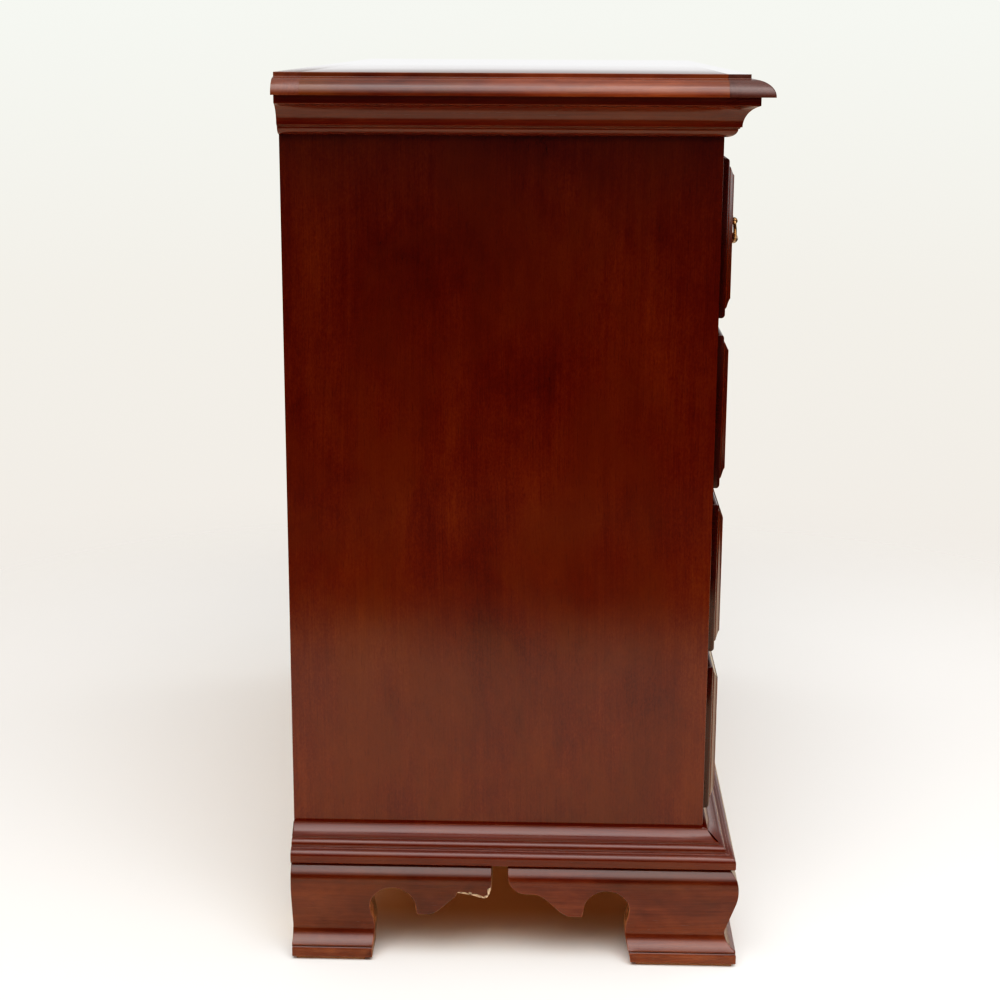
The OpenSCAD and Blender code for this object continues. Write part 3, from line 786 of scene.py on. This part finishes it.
class Outline:
    """A closed outline with an edge radius at each point."""

    def __init__(self, outline, front):
        self.points = np.array([(s, z) for s, z, _ in outline])
        self.next = np.roll(self.points, -1, 0)
        self.edge = self.next - self.points
        self.length2 = (self.edge ** 2).sum(1)
        radii = np.array([EDGE_RADIUS[part] for _, _, part in outline])
        radii = (np.roll(radii, 1) + radii + np.roll(radii, -1)) / 3
        if not front:
            radii = np.array([0.5 if q[2] == "corner" else r for q, r in zip(outline, radii)])
        self.radii = radii

    def nearest(self, spots):
        """Distance to the outline, and the edge radius there."""
        distances, radii = [], []
        for i in range(0, len(spots), 400):
            part = spots[i:i + 400]
            from_start = part[:, None] - self.points[None]
            t = ((from_start * self.edge[None]).sum(2) / self.length2[None]).clip(0, 1)
            near = self.points[None] + t[..., None] * self.edge[None]
            gap = np.linalg.norm(part[:, None] - near, axis=2)
            k = gap.argmin(1)
            rows = np.arange(len(part))
            f = t[rows, k]
            distances.append(gap[rows, k])
            radii.append(self.radii[k] * (1 - f) + self.radii[(k + 1) % len(self.radii)] * f)
        return np.concatenate(distances), np.concatenate(radii)

    def inside(self, spots):
        x, y = spots[:, 0][:, None], spots[:, 1][:, None]
        (x0, y0), (x1, y1) = self.points.T, self.next.T
        straddles = (y0 > y) != (y1 > y)
        with np.errstate(divide="ignore", invalid="ignore"):
            crossing = (x1 - x0) * (y - y0) / (y1 - y0) + x0
        return (straddles & (x < crossing)).sum(1) % 2 == 1

    def inward(self):
        along = self.edge / np.sqrt(self.length2)[:, None]
        normal = np.stack([-along[:, 1], along[:, 0]], 1)
        mean = normal + np.roll(normal, 1, 0)
        return mean / np.linalg.norm(mean, axis=1)[:, None]


def face_points(shape, chip):
    """Points inside the outline: rings that follow the rounded edge, then the rows."""
    found = []
    inward = shape.inward()
    for angle in (24, 45, 66, 90):
        depth = shape.radii * (1 - math.cos(math.radians(angle)))
        spots = shape.points + inward * depth[:, None]
        distance, _ = shape.nearest(spots)
        ok = shape.inside(spots) & (distance > 0.86 * depth) & (depth > 0.03)
        found += [tuple(p) for p in spots[ok]]
    spots = shape.points + inward * (shape.radii + 0.9)[:, None]
    distance, _ = shape.nearest(spots)
    ok = shape.inside(spots) & (distance > 0.9 * (shape.radii + 0.9))
    found += [tuple(p) for p in spots[ok]]

    grid = [(s, z) for z in bracket_levels() for s in np.arange(-38.0, BRACKET, 3.4)]
    if chip:
        grid += [(s, z) for s in np.arange(BRACKET - 40, BRACKET, 0.7)
                 for z in np.arange(71, 90, 0.7)]
    grid = np.array(grid)
    distance, radius = shape.nearest(grid)
    inside = shape.inside(grid)
    ok = inside & (distance > radius + 1.6)
    if chip:
        near_chip = (grid[:, 0] > BRACKET - 40) & (grid[:, 1] > 71) & (grid[:, 1] < 90)
        ok = ok | (inside & near_chip & (distance > 0.5))
    found += [tuple(p) for p in grid[ok]]

    # drop points that sit on each other
    def cell(p):
        return round(p[0] * 8), round(p[1] * 8)

    seen = {cell(p) for p in shape.points}
    unique = []
    for p in found:
        if cell(p) not in seen:
            seen.add(cell(p))
            unique.append(p)
    return unique


def face_tone(z, distance, radius):
    """Wear along the edge and the pad's arrises, paler still low on the pierced edge as a painted
    highlight; darker in the quirk; painted shade in the hollow and under the base moulding.
    """
    tone = (np.clip(1 - (distance / np.maximum(radius * 0.9, 0.1)), 0, 1)
            * np.where(radius > 0.6, 1.0, 0.0))
    # the lower half of the pierced edge is paler still: a painted highlight on its rounding
    tone = np.where((z < 62) & (radius > 0.9), 1.7, 1.0) * tone
    return (tone - 0.9 * np.exp(-((z - 15.3) / 0.8) ** 2)        # quirk over the pad
            - 0.34 * np.clip((z - 84) / 14, 0, 1)                # painted shade under the base moulding
            - 0.40 * np.exp(-((z - 30.0) / 3.0) ** 2)            # painted shade in the hollow
            + 0.55 * np.exp(-((z - 13.5) / 0.55) ** 2)           # top of the pad
            + 0.35 * np.exp(-((z - SOLE_Z - 1.6) / 1.2) ** 2))   # foot of the pad


def break_tip(spots, distance, depth, tone, raw):
    """Roughens the face along the broken tip and marks the bare wood."""
    for i, (s, z) in enumerate(spots):
        if s > BRACKET - 38 and z < 90:
            coarse = noise.noise(Vector((s * 0.30, z * 0.30, 3.1)))
            fine = noise.noise(Vector((s * 0.9, z * 0.9, 7.7)))
            grow = min(1.0, max(0.0, (s - BRACKET + 37) / 3)) * min(1.0, max(0.0, (87.5 - z) / 3))
            reach = (3.0 + 2.6 * coarse + 1.2 * fine) * grow - distance[i] - (1 - grow)
            k = min(1.0, max(0.0, 0.5 + reach * 0.9))
            raw[i] = k
            depth[i] -= k * (1.5 + 0.9 * fine)
            tone[i] *= 1 - k


# Rings of the wall behind the face: distance behind it (None: the bracket's back) and tone, which
# paints the walls paler, partly as less finished wood and partly as painted light.
WALL = ((0.8, 0.95), (9.0, 0.8), (None, 0.4))
BACK_P = -6.0                                   # where the bracket's back lies


def bracket(name, place, node, material, front=True, chip=False):
    """A pierced ogee bracket. place(s, z, p) gives the point in space, s along the run from
    the carcass corner. The corner end of a front bracket is mitred, on s = -p."""
    outline = bracket_outline(front, chip)
    shape = Outline(outline, front)
    n = len(outline)
    points = [tuple(p) for p in shape.points] + face_points(shape, chip)
    flat, _, cells, origins = geometry.delaunay_2d_cdt([Vector(p) for p in points], [],
                                                       [list(range(n))], 1, 1e-5)[:4]
    flat = np.array([(v.x, v.y) for v in flat])
    where = {k: i for i, sources in enumerate(origins) for k in sources if k < n}
    distance, radius = shape.nearest(flat)
    for k, i in where.items():
        distance[i] = 0.0
        radius[i] = shape.radii[k]
    overlap = np.clip(radius - distance, 0, None)
    drop = radius - np.sqrt(np.clip(radius ** 2 - overlap ** 2, 0, None))
    depth = np.array([ogee(z) for z in flat[:, 1]]) - drop
    tone = face_tone(flat[:, 1], distance, radius)
    raw = np.zeros(len(flat))
    if chip:
        break_tip(flat, distance, depth, tone, raw)

    # the face, then the rings of the wall, then the back
    verts = [place(s, z, p) for (s, z), p in zip(flat, depth)]
    tones, raws = list(tone), list(raw)
    faces = [tuple(cell) for cell in cells]
    loop = [where[k] for k in range(n)]
    previous = loop
    for behind, wall_tone in WALL:
        ring = []
        for k, (s, z, part) in enumerate(outline):
            i = loop[k]
            p = BACK_P if behind is None else depth[i] - behind
            if front and part == "corner":
                s = -p
            elif front and part in ("top", "sole"):
                s = max(s, -p)
            ring.append(len(verts))
            verts.append(place(s, z, p))
            # the walls of the lower pierced edge, which face up, are paler still: a painted
            # highlight
            share = 2.0 if part == "low" and z < 62 else 1 if part in ("low", "end") else 0
            tones.append(wall_tone * share)
            raws.append(raw[i] * (1 if behind else 0.3))
        for k in range(n):
            j = (k + 1) % n
            faces.append((previous[k], previous[j], ring[j], ring[k]))
        previous = ring
    faces.append(tuple(previous))

    mesh = bpy.data.meshes.new(name)
    mesh.from_pydata(verts, [], faces)
    set_values(mesh, "tone", tones)
    set_values(mesh, "raw", raws)
    bm = bmesh.new()
    bm.from_mesh(mesh)
    # merge the points that fell together at the mitre's back edge
    bmesh.ops.remove_doubles(bm, verts=bm.verts, dist=0.004)
    bmesh.ops.dissolve_degenerate(bm, edges=bm.edges, dist=0.002)
    bmesh.ops.recalc_face_normals(bm, faces=bm.faces)
    bmesh.ops.scale(bm, vec=(MM, MM, MM), verts=bm.verts)
    bm.to_mesh(mesh)
    bm.free()
    stands_for(mount(name, mesh, [material], "carcass", sharp=34), node)


for side, sign in (("left", -1), ("right", 1)):
    bracket(f"bracket_front_{side}_side",
            lambda s, z, p: (sign * (HALF_W + p), FRONT + s, z),
            f"foot_front_{side}_side", FOOT["Y"])
    bracket(f"bracket_front_{side}_face",
            lambda s, z, p: (sign * (HALF_W - s), FRONT - p, z),
            f"foot_front_{side}_face", FOOT["X"])
    bracket(f"bracket_back_{side}",
            lambda s, z, p: (sign * (HALF_W + p), FRONT + REAR_ORIGIN - s, z),
            f"foot_back_{side}", FOOT["Y"], front=False, chip=side == "left")


# ------------------------------------------------------------------ drawer fronts
BOARD = 12                  # thickness of a front behind the carcass front plane
LIP = 7.3                   # how far the rounded lip stands out
LIP_R = 3.6
FIN = 9.2                   # width of the lip
CHAMFER = 8.2               # width of the slope up to the raised field


def front_profile(field):
    """[(in from the edge, out from the carcass, tone)] from the lip to the raised field."""
    slope = spline([(FIN + 0.8, LIP + 2.1), (FIN + CHAMFER * 0.45, LIP + 3.3),
                    (FIN + CHAMFER * 0.8, LIP + 4.7), (FIN + CHAMFER, field)], 5)
    line = ([(30, 0), (0, 0), (0, LIP - LIP_R)]
            + arc(LIP_R, LIP - LIP_R, LIP_R, LIP_R, 174, 90, 8)
            + [(FIN - 0.9, LIP), (FIN - 0.6, LIP + 1.2), (FIN + 0.8, LIP + 2.1)] + slope[1:]
            + [(FIN + CHAMFER + 30, field), (FIN + CHAMFER + 30, -30)])
    # this line runs clockwise, so its outer corners come back with the tone of inner ones
    eased = ease(line, 0.45, closed=False)[1:-1]
    points = [(inward, out, -tone) for inward, out, tone in eased if inward < FIN + CHAMFER + 2]
    return points + [(FIN + CHAMFER + 3.0, field, 0)]


def front_rings(n):
    """Rings and tones of a front, and x0, x1, z0, z1 of the part between the sides."""
    (x0, y0, z0), (x1, _, z1) = box_mm(f"drawer_{n}_front")
    (side_x0, _, side_z0), (side_x1, _, side_z1) = box_mm(f"drawer_{n}_sides")
    inner = side_x0, side_x1, side_z0 + 1, side_z1
    rings, tones = [], []

    def add(outline, out, tone):
        rings.append([(x, FRONT - out, z) for x, z in outline])
        tones.extend([tone] * len(outline))

    for out in (-BOARD, 0):
        add(box_ring(*inner, (0.3,) * 4), out, 0)
    # painted shade: the lip is painted darker towards its outer edge, over its first 5 mm
    for a, out, tone in front_profile(FRONT - y0):
        add(box_ring(x0 + a, x1 - a, z0 + a, z1 - a, (0.9,) * 4), out,
            tone - 0.9 * max(0.0, 1 - a / 5))
    return rings, tones, inner


def prism(first, second):
    """A solid between two rings of four points."""
    return helper(first + second, [(0, 1, 2, 3), (7, 6, 5, 4), (0, 1, 5, 4), (1, 2, 6, 5),
                                   (2, 3, 7, 6), (3, 0, 4, 7)])


TAILS = 4
TAIL_FRONT, TAIL_BACK = 0.36, 0.239     # half width of a socket at its ends, in pitches


def tail_cutters(x0, x1, z0, height):
    """The dovetail sockets at one end, as wedges that narrow towards the back."""
    cutters = []
    pitch = height / TAILS
    y_back, y_front = FRONT + BOARD + 1, FRONT + BOARD - 10
    for i in range(TAILS):
        z = z0 + (i + 0.5) * pitch
        ring = [(y_back, z - pitch * TAIL_BACK), (y_front, z - pitch * TAIL_FRONT),
                (y_front, z + pitch * TAIL_FRONT), (y_back, z + pitch * TAIL_BACK)]
        cutters.append(prism(*([(x, y, q) for y, q in ring] for x in (x0, x1))))
    return cutters


def drawer_front(n):
    rings, tones, (x0, x1, z0, z1) = front_rings(n)
    ob = make(f"drawer_{n}_front_board", *loft(rings), tones, body=None)
    height = z1 - z0 + 1
    cutters = tail_cutters(x0 - 1, x0 + BOARD, z0 - 1, height)
    cutters += tail_cutters(x1 - BOARD, x1 + 1, z0 - 1, height)
    # groove for the drawer bottom
    groove_z = limit(f"drawer_{n}_bottom", MIN, Z)
    plan = [(x0 + 7, FRONT + 7), (x1 - 7, FRONT + 7), (x1 - 7, FRONT + 13), (x0 + 7, FRONT + 13)]
    cutters.append(prism(*([(x, y, z) for x, y in plan] for z in (groove_z, groove_z + 6))))
    boolean(ob, cutters)
    for material in (PLAIN["X"], SECONDARY["X"]):
        ob.data.materials.append(material)
    paint(ob, lambda face: face.center.y * 1000 > FRONT + 0.5)
    shade(ob.data, 32)
    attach(ob, f"drawer_{n}")
    stands_for(ob, f"drawer_{n}_front")


for n in range(1, 6):
    drawer_front(n)


# ------------------------------------------------------------------ handles
# A handle's origin lies on the raised field, between its posts and level with the bail's pins.
POST_GAP = 50.0
BAIL_OUT = 7.0              # bail axis, out from the field
DROP = 20.0                 # grip, below the bail axis
HEAD_R = 3.7
PIN_R = 1.5
BORE_R = PIN_R + 0.06
FIELD = 13.3                # raised field, out from the carcass front plane
# Radius and y of a post, from the threaded end behind the board to the tip in front.
POST_PROFILE = [
    (0, FIELD + 17), (1.7, FIELD + 17), (2.2, FIELD + 16.4), (2.2, 0), (7.7, 0), (8.0, -0.25),
    (8.0, -0.7), (7.8, -1.05), (7.3, -1.2), (6.9, -1.15), (6.6, -1.2), (6.2, -1.45), (5.6, -1.6),
    (5.0, -1.75), (4.5, -2.1), (4.0, -2.55), (3.3, -2.85), (2.7, -3.05), (2.4, -3.3),
    (2.3, -4.0), (2.4, -4.6), (1.8, -5.2), (0, -5.4)]


def lathe(profile, n=40):
    """Profile [(radius, y)] turned about the Y axis, with its ends on the axis."""
    verts, faces, rows = [], [], []
    for r, y in profile:
        if r < 1e-6:
            rows.append([len(verts)])
            verts.append((0, y, 0))
        else:
            rows.append(list(range(len(verts), len(verts) + n)))
            verts += [(r * math.cos(2 * math.pi * i / n), y, r * math.sin(2 * math.pi * i / n))
                      for i in range(n)]
    for a, b in zip(rows, rows[1:]):
        for i in range(n):
            j = (i + 1) % n
            if len(a) == 1:
                faces.append((a[0], b[i], b[j]))
            elif len(b) == 1:
                faces.append((a[i], b[0], a[j]))
            else:
                faces.append((a[i], b[i], b[j], a[j]))
    return verts, faces


def post_mesh():
    """A post with a round head, bored along X for the bail's pin."""
    post = helper(*lathe(POST_PROFILE))
    head = [(HEAD_R * math.sin(math.pi * i / 24), -BAIL_OUT + HEAD_R * math.cos(math.pi * i / 24))
            for i in range(25)]
    circle = [(-BAIL_OUT + BORE_R * math.cos(2 * math.pi * i / 36),
               BORE_R * math.sin(2 * math.pi * i / 36)) for i in range(36)]
    head_ob = helper(*lathe(head, 44))
    bore_ob = helper(*loft([[(x, y, z) for y, z in circle] for x in (-9, 9)]))
    boolean(post, [head_ob], "UNION")
    boolean(post, [bore_ob])
    verts = [tuple(v.co * 1000) for v in post.data.vertices]
    faces = [tuple(p.vertices) for p in post.data.polygons]
    bpy.data.objects.remove(post)
    return verts, faces


def nut_mesh():
    """A hexagonal nut behind the board."""
    radius, hole, chamfer = 5.0, 2.3, 0.35
    hexagon = ease([(radius * math.cos(math.pi / 3 * i), radius * math.sin(math.pi / 3 * i))
                    for i in range(6)], 0.5, 2)
    outer = [(x, z) for x, z, _ in hexagon]
    circle = [(hole * math.cos(math.atan2(z, x)), hole * math.sin(math.atan2(z, x)))
              for x, z in outer]
    y0, y1 = FIELD + BOARD, FIELD + BOARD + 3.2
    rings = [(circle, y0), (outer, y0), (outer, y1 - chamfer), (inset(outer, chamfer), y1),
             (circle, y1)]
    return loft([[(x, y, z) for x, z in ring] for ring, y in rings], wrap=True)


# Half of the bail: x from the post, y and z from the bail axis.
BAIL_ARM = [
    (-4.5, 0, 0), (-1.0, 0, 0), (2.5, 0, 0), (4.6, -0.05, -0.35), (5.75, -0.2, -1.9),
    (6.0, -0.4, -4.4), (5.6, -0.7, -7.4), (3.6, -1.0, -11.2), (0.2, -1.25, -14.9),
    (-4.2, -1.4, -17.7), (-9.5, -1.5, -19.4), (-15, -1.5, -DROP), (-20, -1.5, -DROP),
    (-POST_GAP / 2, -1.5, -DROP)]
ARM_R, GRIP_R = 1.75, 5.4
GRIP_HALF = 19.0            # half length of the swelling grip


def bail_radius(distance, half_length):
    """Radius at a distance along the bail from its middle: grip, collar, then arm."""
    if distance < GRIP_HALF:
        swell = 0.5 + 0.5 * math.cos(math.pi * distance / GRIP_HALF)
        return ARM_R + (GRIP_R - ARM_R) * swell ** 0.9
    if distance < GRIP_HALF + 3.0:
        return ARM_R + 0.8 * math.sin(math.pi * (distance - GRIP_HALF) / 3.0)
    return float(np.interp(distance,
                           [22.0, 26, half_length - 12, half_length - 7.5, half_length],
                           [ARM_R, 1.95, 1.8, PIN_R, PIN_R]))


def bail_mesh():
    """The swan-neck bail: a pin in each post head and arms that curve in to the grip."""
    path = spline([(POST_GAP / 2 + x, y, z) for x, y, z in BAIL_ARM], 7)
    path = np.array(path + [(-p[0], p[1], p[2]) for p in path[-2::-1]])
    lengths = np.concatenate([[0], np.cumsum(np.linalg.norm(np.diff(path, axis=0), axis=1))])
    total = lengths[-1]
    middle = total / 2
    # the grip and its collars are sampled finely
    stations = np.unique(np.concatenate([lengths, np.arange(middle - 24, middle + 24, 0.5)]))
    stations = stations[np.concatenate([[True], np.diff(stations) > 0.12])]
    stations[-1] = total
    centres = np.stack([np.interp(stations, lengths, path[:, i]) for i in range(3)], 1)
    radii = [bail_radius(d, middle) for d in np.abs(stations - middle)]
    tangents = np.gradient(centres, axis=0)
    tangents /= np.linalg.norm(tangents, axis=1)[:, None]

    def pin_end(i, sign, angle):
        """One section of the pin's rounded end."""
        rounding = 0.45
        return (centres[i] + sign * tangents[i] * rounding * math.sin(angle),
                radii[i] - rounding * (1 - math.cos(angle)), tangents[i])

    sections = ([pin_end(0, -1, a) for a in (math.pi / 2, math.pi / 4)]
                + list(zip(centres, radii, tangents))
                + [pin_end(-1, 1, a) for a in (math.pi / 4, math.pi / 2)])
    n = 28
    rings, tones = [], []
    for centre, radius, tangent in sections:
        b = np.cross(tangent, np.array([0.0, 1.0, 0.0]))
        b /= np.linalg.norm(b)
        a = np.cross(b, tangent)
        angles = [2 * math.pi * i / n for i in range(n)]
        rings.append([tuple(centre + radius * (math.cos(t) * a + math.sin(t) * b))
                      for t in angles])
        tones += [0.6 if radius > 3.5 else 0.0] * n
    verts, faces = loft(rings)
    faces[-2:] = [cap[::-1] for cap in faces[-2:]]      # wound the same way as the sides
    return verts, faces, tones


POST, NUT, BAIL = post_mesh(), nut_mesh(), bail_mesh()


def handles(n):
    """Two handles on a drawer, at a quarter and three quarters of its width."""
    (x0, _, _), (x1, _, _) = box_mm(f"drawer_{n}_front")
    (_, _, post_z0), (_, _, post_z1) = box_mm(f"drawer_{n}_posts")
    centres = [x0 + (x1 - x0) * k for k in (0.25, 0.75)]
    handle_z = (post_z0 + post_z1) / 2
    field_y = FRONT - FIELD
    verts, faces = [], []
    for centre in centres:
        for sign in (-1, 1):
            post_x = centre + sign * POST_GAP / 2
            for part_verts, part_faces in (POST, NUT):
                k = len(verts)
                verts += [(x + post_x, y + field_y, z + handle_z) for x, y, z in part_verts]
                faces += [tuple(i + k for i in face) for face in part_faces]
    posts = make(f"drawer_{n}_post_set", verts, faces, [0.0] * len(verts), [BRASS],
                 body=f"drawer_{n}", sharp=38)
    stands_for(posts, f"drawer_{n}_posts")
    bail_verts, bail_faces, bail_tones = BAIL
    for side, centre in zip(("left", "right"), centres):
        node = f"drawer_{n}_bail_{side}"
        placed = [(x + centre, y + field_y - BAIL_OUT, z + handle_z) for x, y, z in bail_verts]
        bail = make(node + "_drop", placed, bail_faces, bail_tones, [BRASS], body=node, sharp=50)
        stands_for(bail, node)


for n in range(1, 6):
    handles(n)


# ------------------------------------------------------------------ boards kept from the frame
# node, material, slot, arris in mm
BOARDS = [
    ("side_panel_left", PANEL, "mahogany", 0.6),
    ("side_panel_right", PANEL, "mahogany", 0.6),
    ("top_rail", PLAIN["X"], "mahogany", 0.4),
    ("front_rails", PLAIN["X"], "mahogany", 0.4),
    ("divider", PLAIN["Z"], "mahogany", 0.4),
    ("back_panel", PLYWOOD, "plywood", 0.3),
    ("bottom_board", SECONDARY["X"], "secondary_wood", 0.4),
    ("drawer_runners", SECONDARY["Y"], "secondary_wood", 0.4),
    ("foot_blocks", SECONDARY["Z"], "secondary_wood", 0.6),
    ("foot_soles", SOLE_WOOD, "secondary_wood", 0.3),
]
for n in range(1, 6):
    BOARDS += [
        (f"drawer_{n}_sides", SECONDARY["Y"], "secondary_wood", 0.3),
        (f"drawer_{n}_back", SECONDARY["X"], "secondary_wood", 0.4),
        (f"drawer_{n}_bottom", PLYWOOD, "plywood", 0.2),
    ]


def dress(node, material, slot, arris):
    """Gives a frame board its wood and eased edges."""
    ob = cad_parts[node]
    ob["seed"] = seed_of(node)
    if not ob.material_slots:
        ob.data.materials.append(material)
    for material_slot in ob.material_slots:
        material_slot.material = material
    ob.modifiers.new("weld", "WELD").merge_threshold = 1e-5
    planar = ob.modifiers.new("planar", "DECIMATE")
    planar.decimate_type, planar.angle_limit = "DISSOLVE", math.radians(0.5)
    bevel = ob.modifiers.new("arris", "BEVEL")
    bevel.width, bevel.segments = arris * MM, 2
    bevel.limit_method, bevel.angle_limit = "ANGLE", math.radians(40)


for board in BOARDS:
    dress(*board)


# ------------------------------------------------------------------ floor
def floor_material():
    """A white floor that fades into the backdrop for the camera, and that ends in a dark room
    for polished surfaces."""
    material, sh = new_material("studio_floor")
    position = sh.add("NewGeometry")["Position"]
    x, y, _ = sh.add("SeparateXYZ", {0: position})
    half_w, half_d = HALF_W * MM, 0.22

    # distance outside the footprint of the piece
    out_x = sh.max(sh.sub(sh.math("ABSOLUTE", x), half_w), 0.0)
    out_y = sh.max(sh.sub(sh.math("ABSOLUTE", y), half_d), 0.0)
    squares = sh.math("ADD", sh.mul(out_x, out_x), sh.mul(out_y, out_y))
    distance = sh.math("SQRT", squares)
    ray = sh.add("LightPath")

    # reflections: the floor, then the dark room with one faint band in it
    dark = sh.remap(distance, low=1.03, high=1.26)
    band = sh.mul(sh.remap(distance, low=1.62, high=1.76), sh.remap(distance, low=2.10, high=1.96))
    reflected = sh.mul_add(band, factor=0.24, offset=sh.mul_add(dark, factor=-0.97, offset=1.0))
    bounce = sh.mul_add(sh.remap(distance, low=0.9, high=1.8), factor=-0.75, offset=1.0)

    # painted light and shade: under the piece the floor is painted darker and in the colour of the
    # light its wood throws back
    under_x = sh.remap(sh.math("ABSOLUTE", x), low=half_w + 0.01, high=half_w - 0.10)
    under_y = sh.remap(sh.math("ABSOLUTE", y), low=0.25, high=0.15)
    seen = sh.mix(sh.mul(under_x, under_y), (0.925, 0.900, 0.860), (0.66, 0.37, 0.23))
    glossy = sh.mix(reflected, (0.0, 0.0, 0.0), (0.86, 0.76, 0.60))
    diffuse = sh.mix(bounce, (0.0, 0.0, 0.0), (1.25, 1.14, 1.0))
    color = sh.mix(ray["Is Glossy Ray"], sh.mix(ray["Is Diffuse Ray"], seen, diffuse), glossy)
    solid = sh.add("BsdfDiffuse", {"Color": color, "Roughness": 0.0})[0]

    # far away the floor runs into the backdrop
    far = sh.mul(sh.remap(distance, low=0.30, high=1.25), ray["Is Camera Ray"])
    clear = sh.add("BsdfTransparent")[0]
    sh.surface(sh.add("MixShader", {0: far, 1: solid, 2: clear})[0])
    return material


def stage_floor():
    n, radius = 96, 9.0
    rim = [(radius * math.cos(2 * math.pi * i / n), radius * math.sin(2 * math.pi * i / n), 0)
           for i in range(n)]
    mesh = bpy.data.meshes.new("floor")
    mesh.from_pydata([(0, 0, 0)] + rim, [], [(0, i + 1, (i + 1) % n + 1) for i in range(n)])
    mesh.materials.append(floor_material())
    add_object("floor", mesh)


stage_floor()

# ------------------------------------------------------------------ world
# Ramps over the height of a direction. The backdrop's runs from -0.5 to 0.1 of that height.
BACKDROP = [(0.0, (0.93, 0.93, 0.90)), (0.30, (0.84, 0.78, 0.72)), (0.62, (0.86, 0.83, 0.76)),
            (0.85, (0.89, 0.91, 0.845)), (1.0, (0.87, 0.91, 0.85))]
# Brightness that polished surfaces see, on the camera's side and on the far side.
CAMERA_SIDE = [(0.0, 0.22), (0.05, 0.03), (0.17, 0.03), (0.30, 0.40), (0.40, 0.85), (0.50, 1.25),
               (0.62, 2.0), (0.72, 3.7), (0.82, 4.1), (0.90, 4.7), (0.95, 5.1), (0.985, 4.7),
               (1.0, 2.9)]
FAR_SIDE = [(0.0, 0.93), (0.15, 0.93), (0.28, 0.48), (0.50, 0.40), (0.76, 0.55), (0.87, 0.75),
            (0.94, 1.10), (0.985, 1.9), (1.0, 2.9)]
PEAK = 5.2                  # brightness that a ramp value of 1 stands for
AMBIENT = (0.42, 0.41, 0.40)


def studio_world():
    world = bpy.data.worlds.new("studio")
    bpy.context.scene.world = world
    world.use_nodes = True
    sh = Shader(world.node_tree)
    direction = sh.add("TexCoord")["Generated"]
    x, _, z = sh.add("SeparateXYZ", {0: direction})
    backdrop = sh.ramp(sh.remap(z, low=-0.5, high=0.1, kind="LINEAR"), BACKDROP)
    height = sh.max(z, 0.0)
    room, far_side = (sh.ramp(height, [(position, value / PEAK) for position, value in stops])
                      for stops in (CAMERA_SIDE, FAR_SIDE))
    above_floor = sh.remap(z, low=-0.11, high=-0.02)
    behind_camera = sh.remap(x, low=0.03, high=-0.12)
    ray = sh.add("LightPath")
    room = sh.mix(above_floor, (0.006, 0.006, 0.006), room)
    reflected = sh.mix(1.0, sh.mix(behind_camera, far_side, room), (PEAK,) * 3, "MULTIPLY")
    unseen = sh.mix(ray["Is Glossy Ray"], AMBIENT, reflected)
    color = sh.mix(ray["Is Camera Ray"], unseen, backdrop)
    background = sh.add("Background", {"Color": color, "Strength": 1.0})[0]
    sh.add("OutputWorld", {"Surface": background})


studio_world()


# ------------------------------------------------------------------ lights
def softbox(name, at, aim, size, radiance):
    """A rectangular light that neither the camera nor reflections see."""
    light = bpy.data.lights.new(name, "AREA")
    light.shape = "RECTANGLE"
    light.size, light.size_y = size
    light.energy = radiance * math.pi * size[0] * size[1]
    ob = add_object(name, light)
    ob.location = at
    ob.rotation_mode = "QUATERNION"
    ob.rotation_quaternion = (Vector(aim) - Vector(at)).to_track_quat("-Z", "Y")
    ob.visible_camera = False
    ob.visible_glossy = False


softbox("key", at=(-1.75, -0.1, 2.45), aim=(-0.45, 0, 0.1), size=(3.2, 1.9), radiance=3.9)
softbox("overhead", at=(0.1, -0.3, 2.9), aim=(0, 0, 0.4), size=(2.4, 1.6), radiance=1.2)
softbox("front", at=(0.5, -2.3, 2.4), aim=(0, -0.2, 0.2), size=(2.2, 1.3), radiance=2.2)
softbox("back", at=(0.9, 2.3, 2.3), aim=(0, 0, 0.2), size=(2.0, 1.2), radiance=1.0)


# ------------------------------------------------------------------ camera and tone curve
# The camera faces the left side from above.
CAMERA_AT = Vector((-2.3251209, -0.0360528, 0.9528029))
CAMERA_RIGHT = Vector((0.0313597, -0.9994975, 0.0046142))
CAMERA_UP = Vector((0.2372842, 0.0119292, 0.9713670))
CAMERA_FORWARD = Vector((0.9709340, 0.0293670, -0.2375390))
# Input and output of the curve that deepens the shadows and lifts the lights.
TONE_CURVE = ((0.012, 0.0035), (0.035, 0.020), (0.10, 0.083), (0.30, 0.31), (0.70, 0.76))

lens = bpy.data.cameras.new("camera")
lens.sensor_fit, lens.sensor_width, lens.lens = "HORIZONTAL", 36.0, 68.765439
lens.clip_start, lens.clip_end = 0.05, 60
camera = add_object("camera", lens)
pose = Matrix((CAMERA_RIGHT, CAMERA_UP, -CAMERA_FORWARD)).transposed().to_4x4()
pose.translation = CAMERA_AT
camera.matrix_world = pose
bpy.context.scene.camera = camera

view = bpy.context.scene.view_settings
view.view_transform = "Standard"
view.look = "None"
view.exposure = 0.0
view.use_curve_mapping = True
view.curve_mapping.use_clip = True
for dark_in, dark_out in TONE_CURVE:
    view.curve_mapping.curves[3].points.new(dark_in, dark_out)
view.curve_mapping.update()
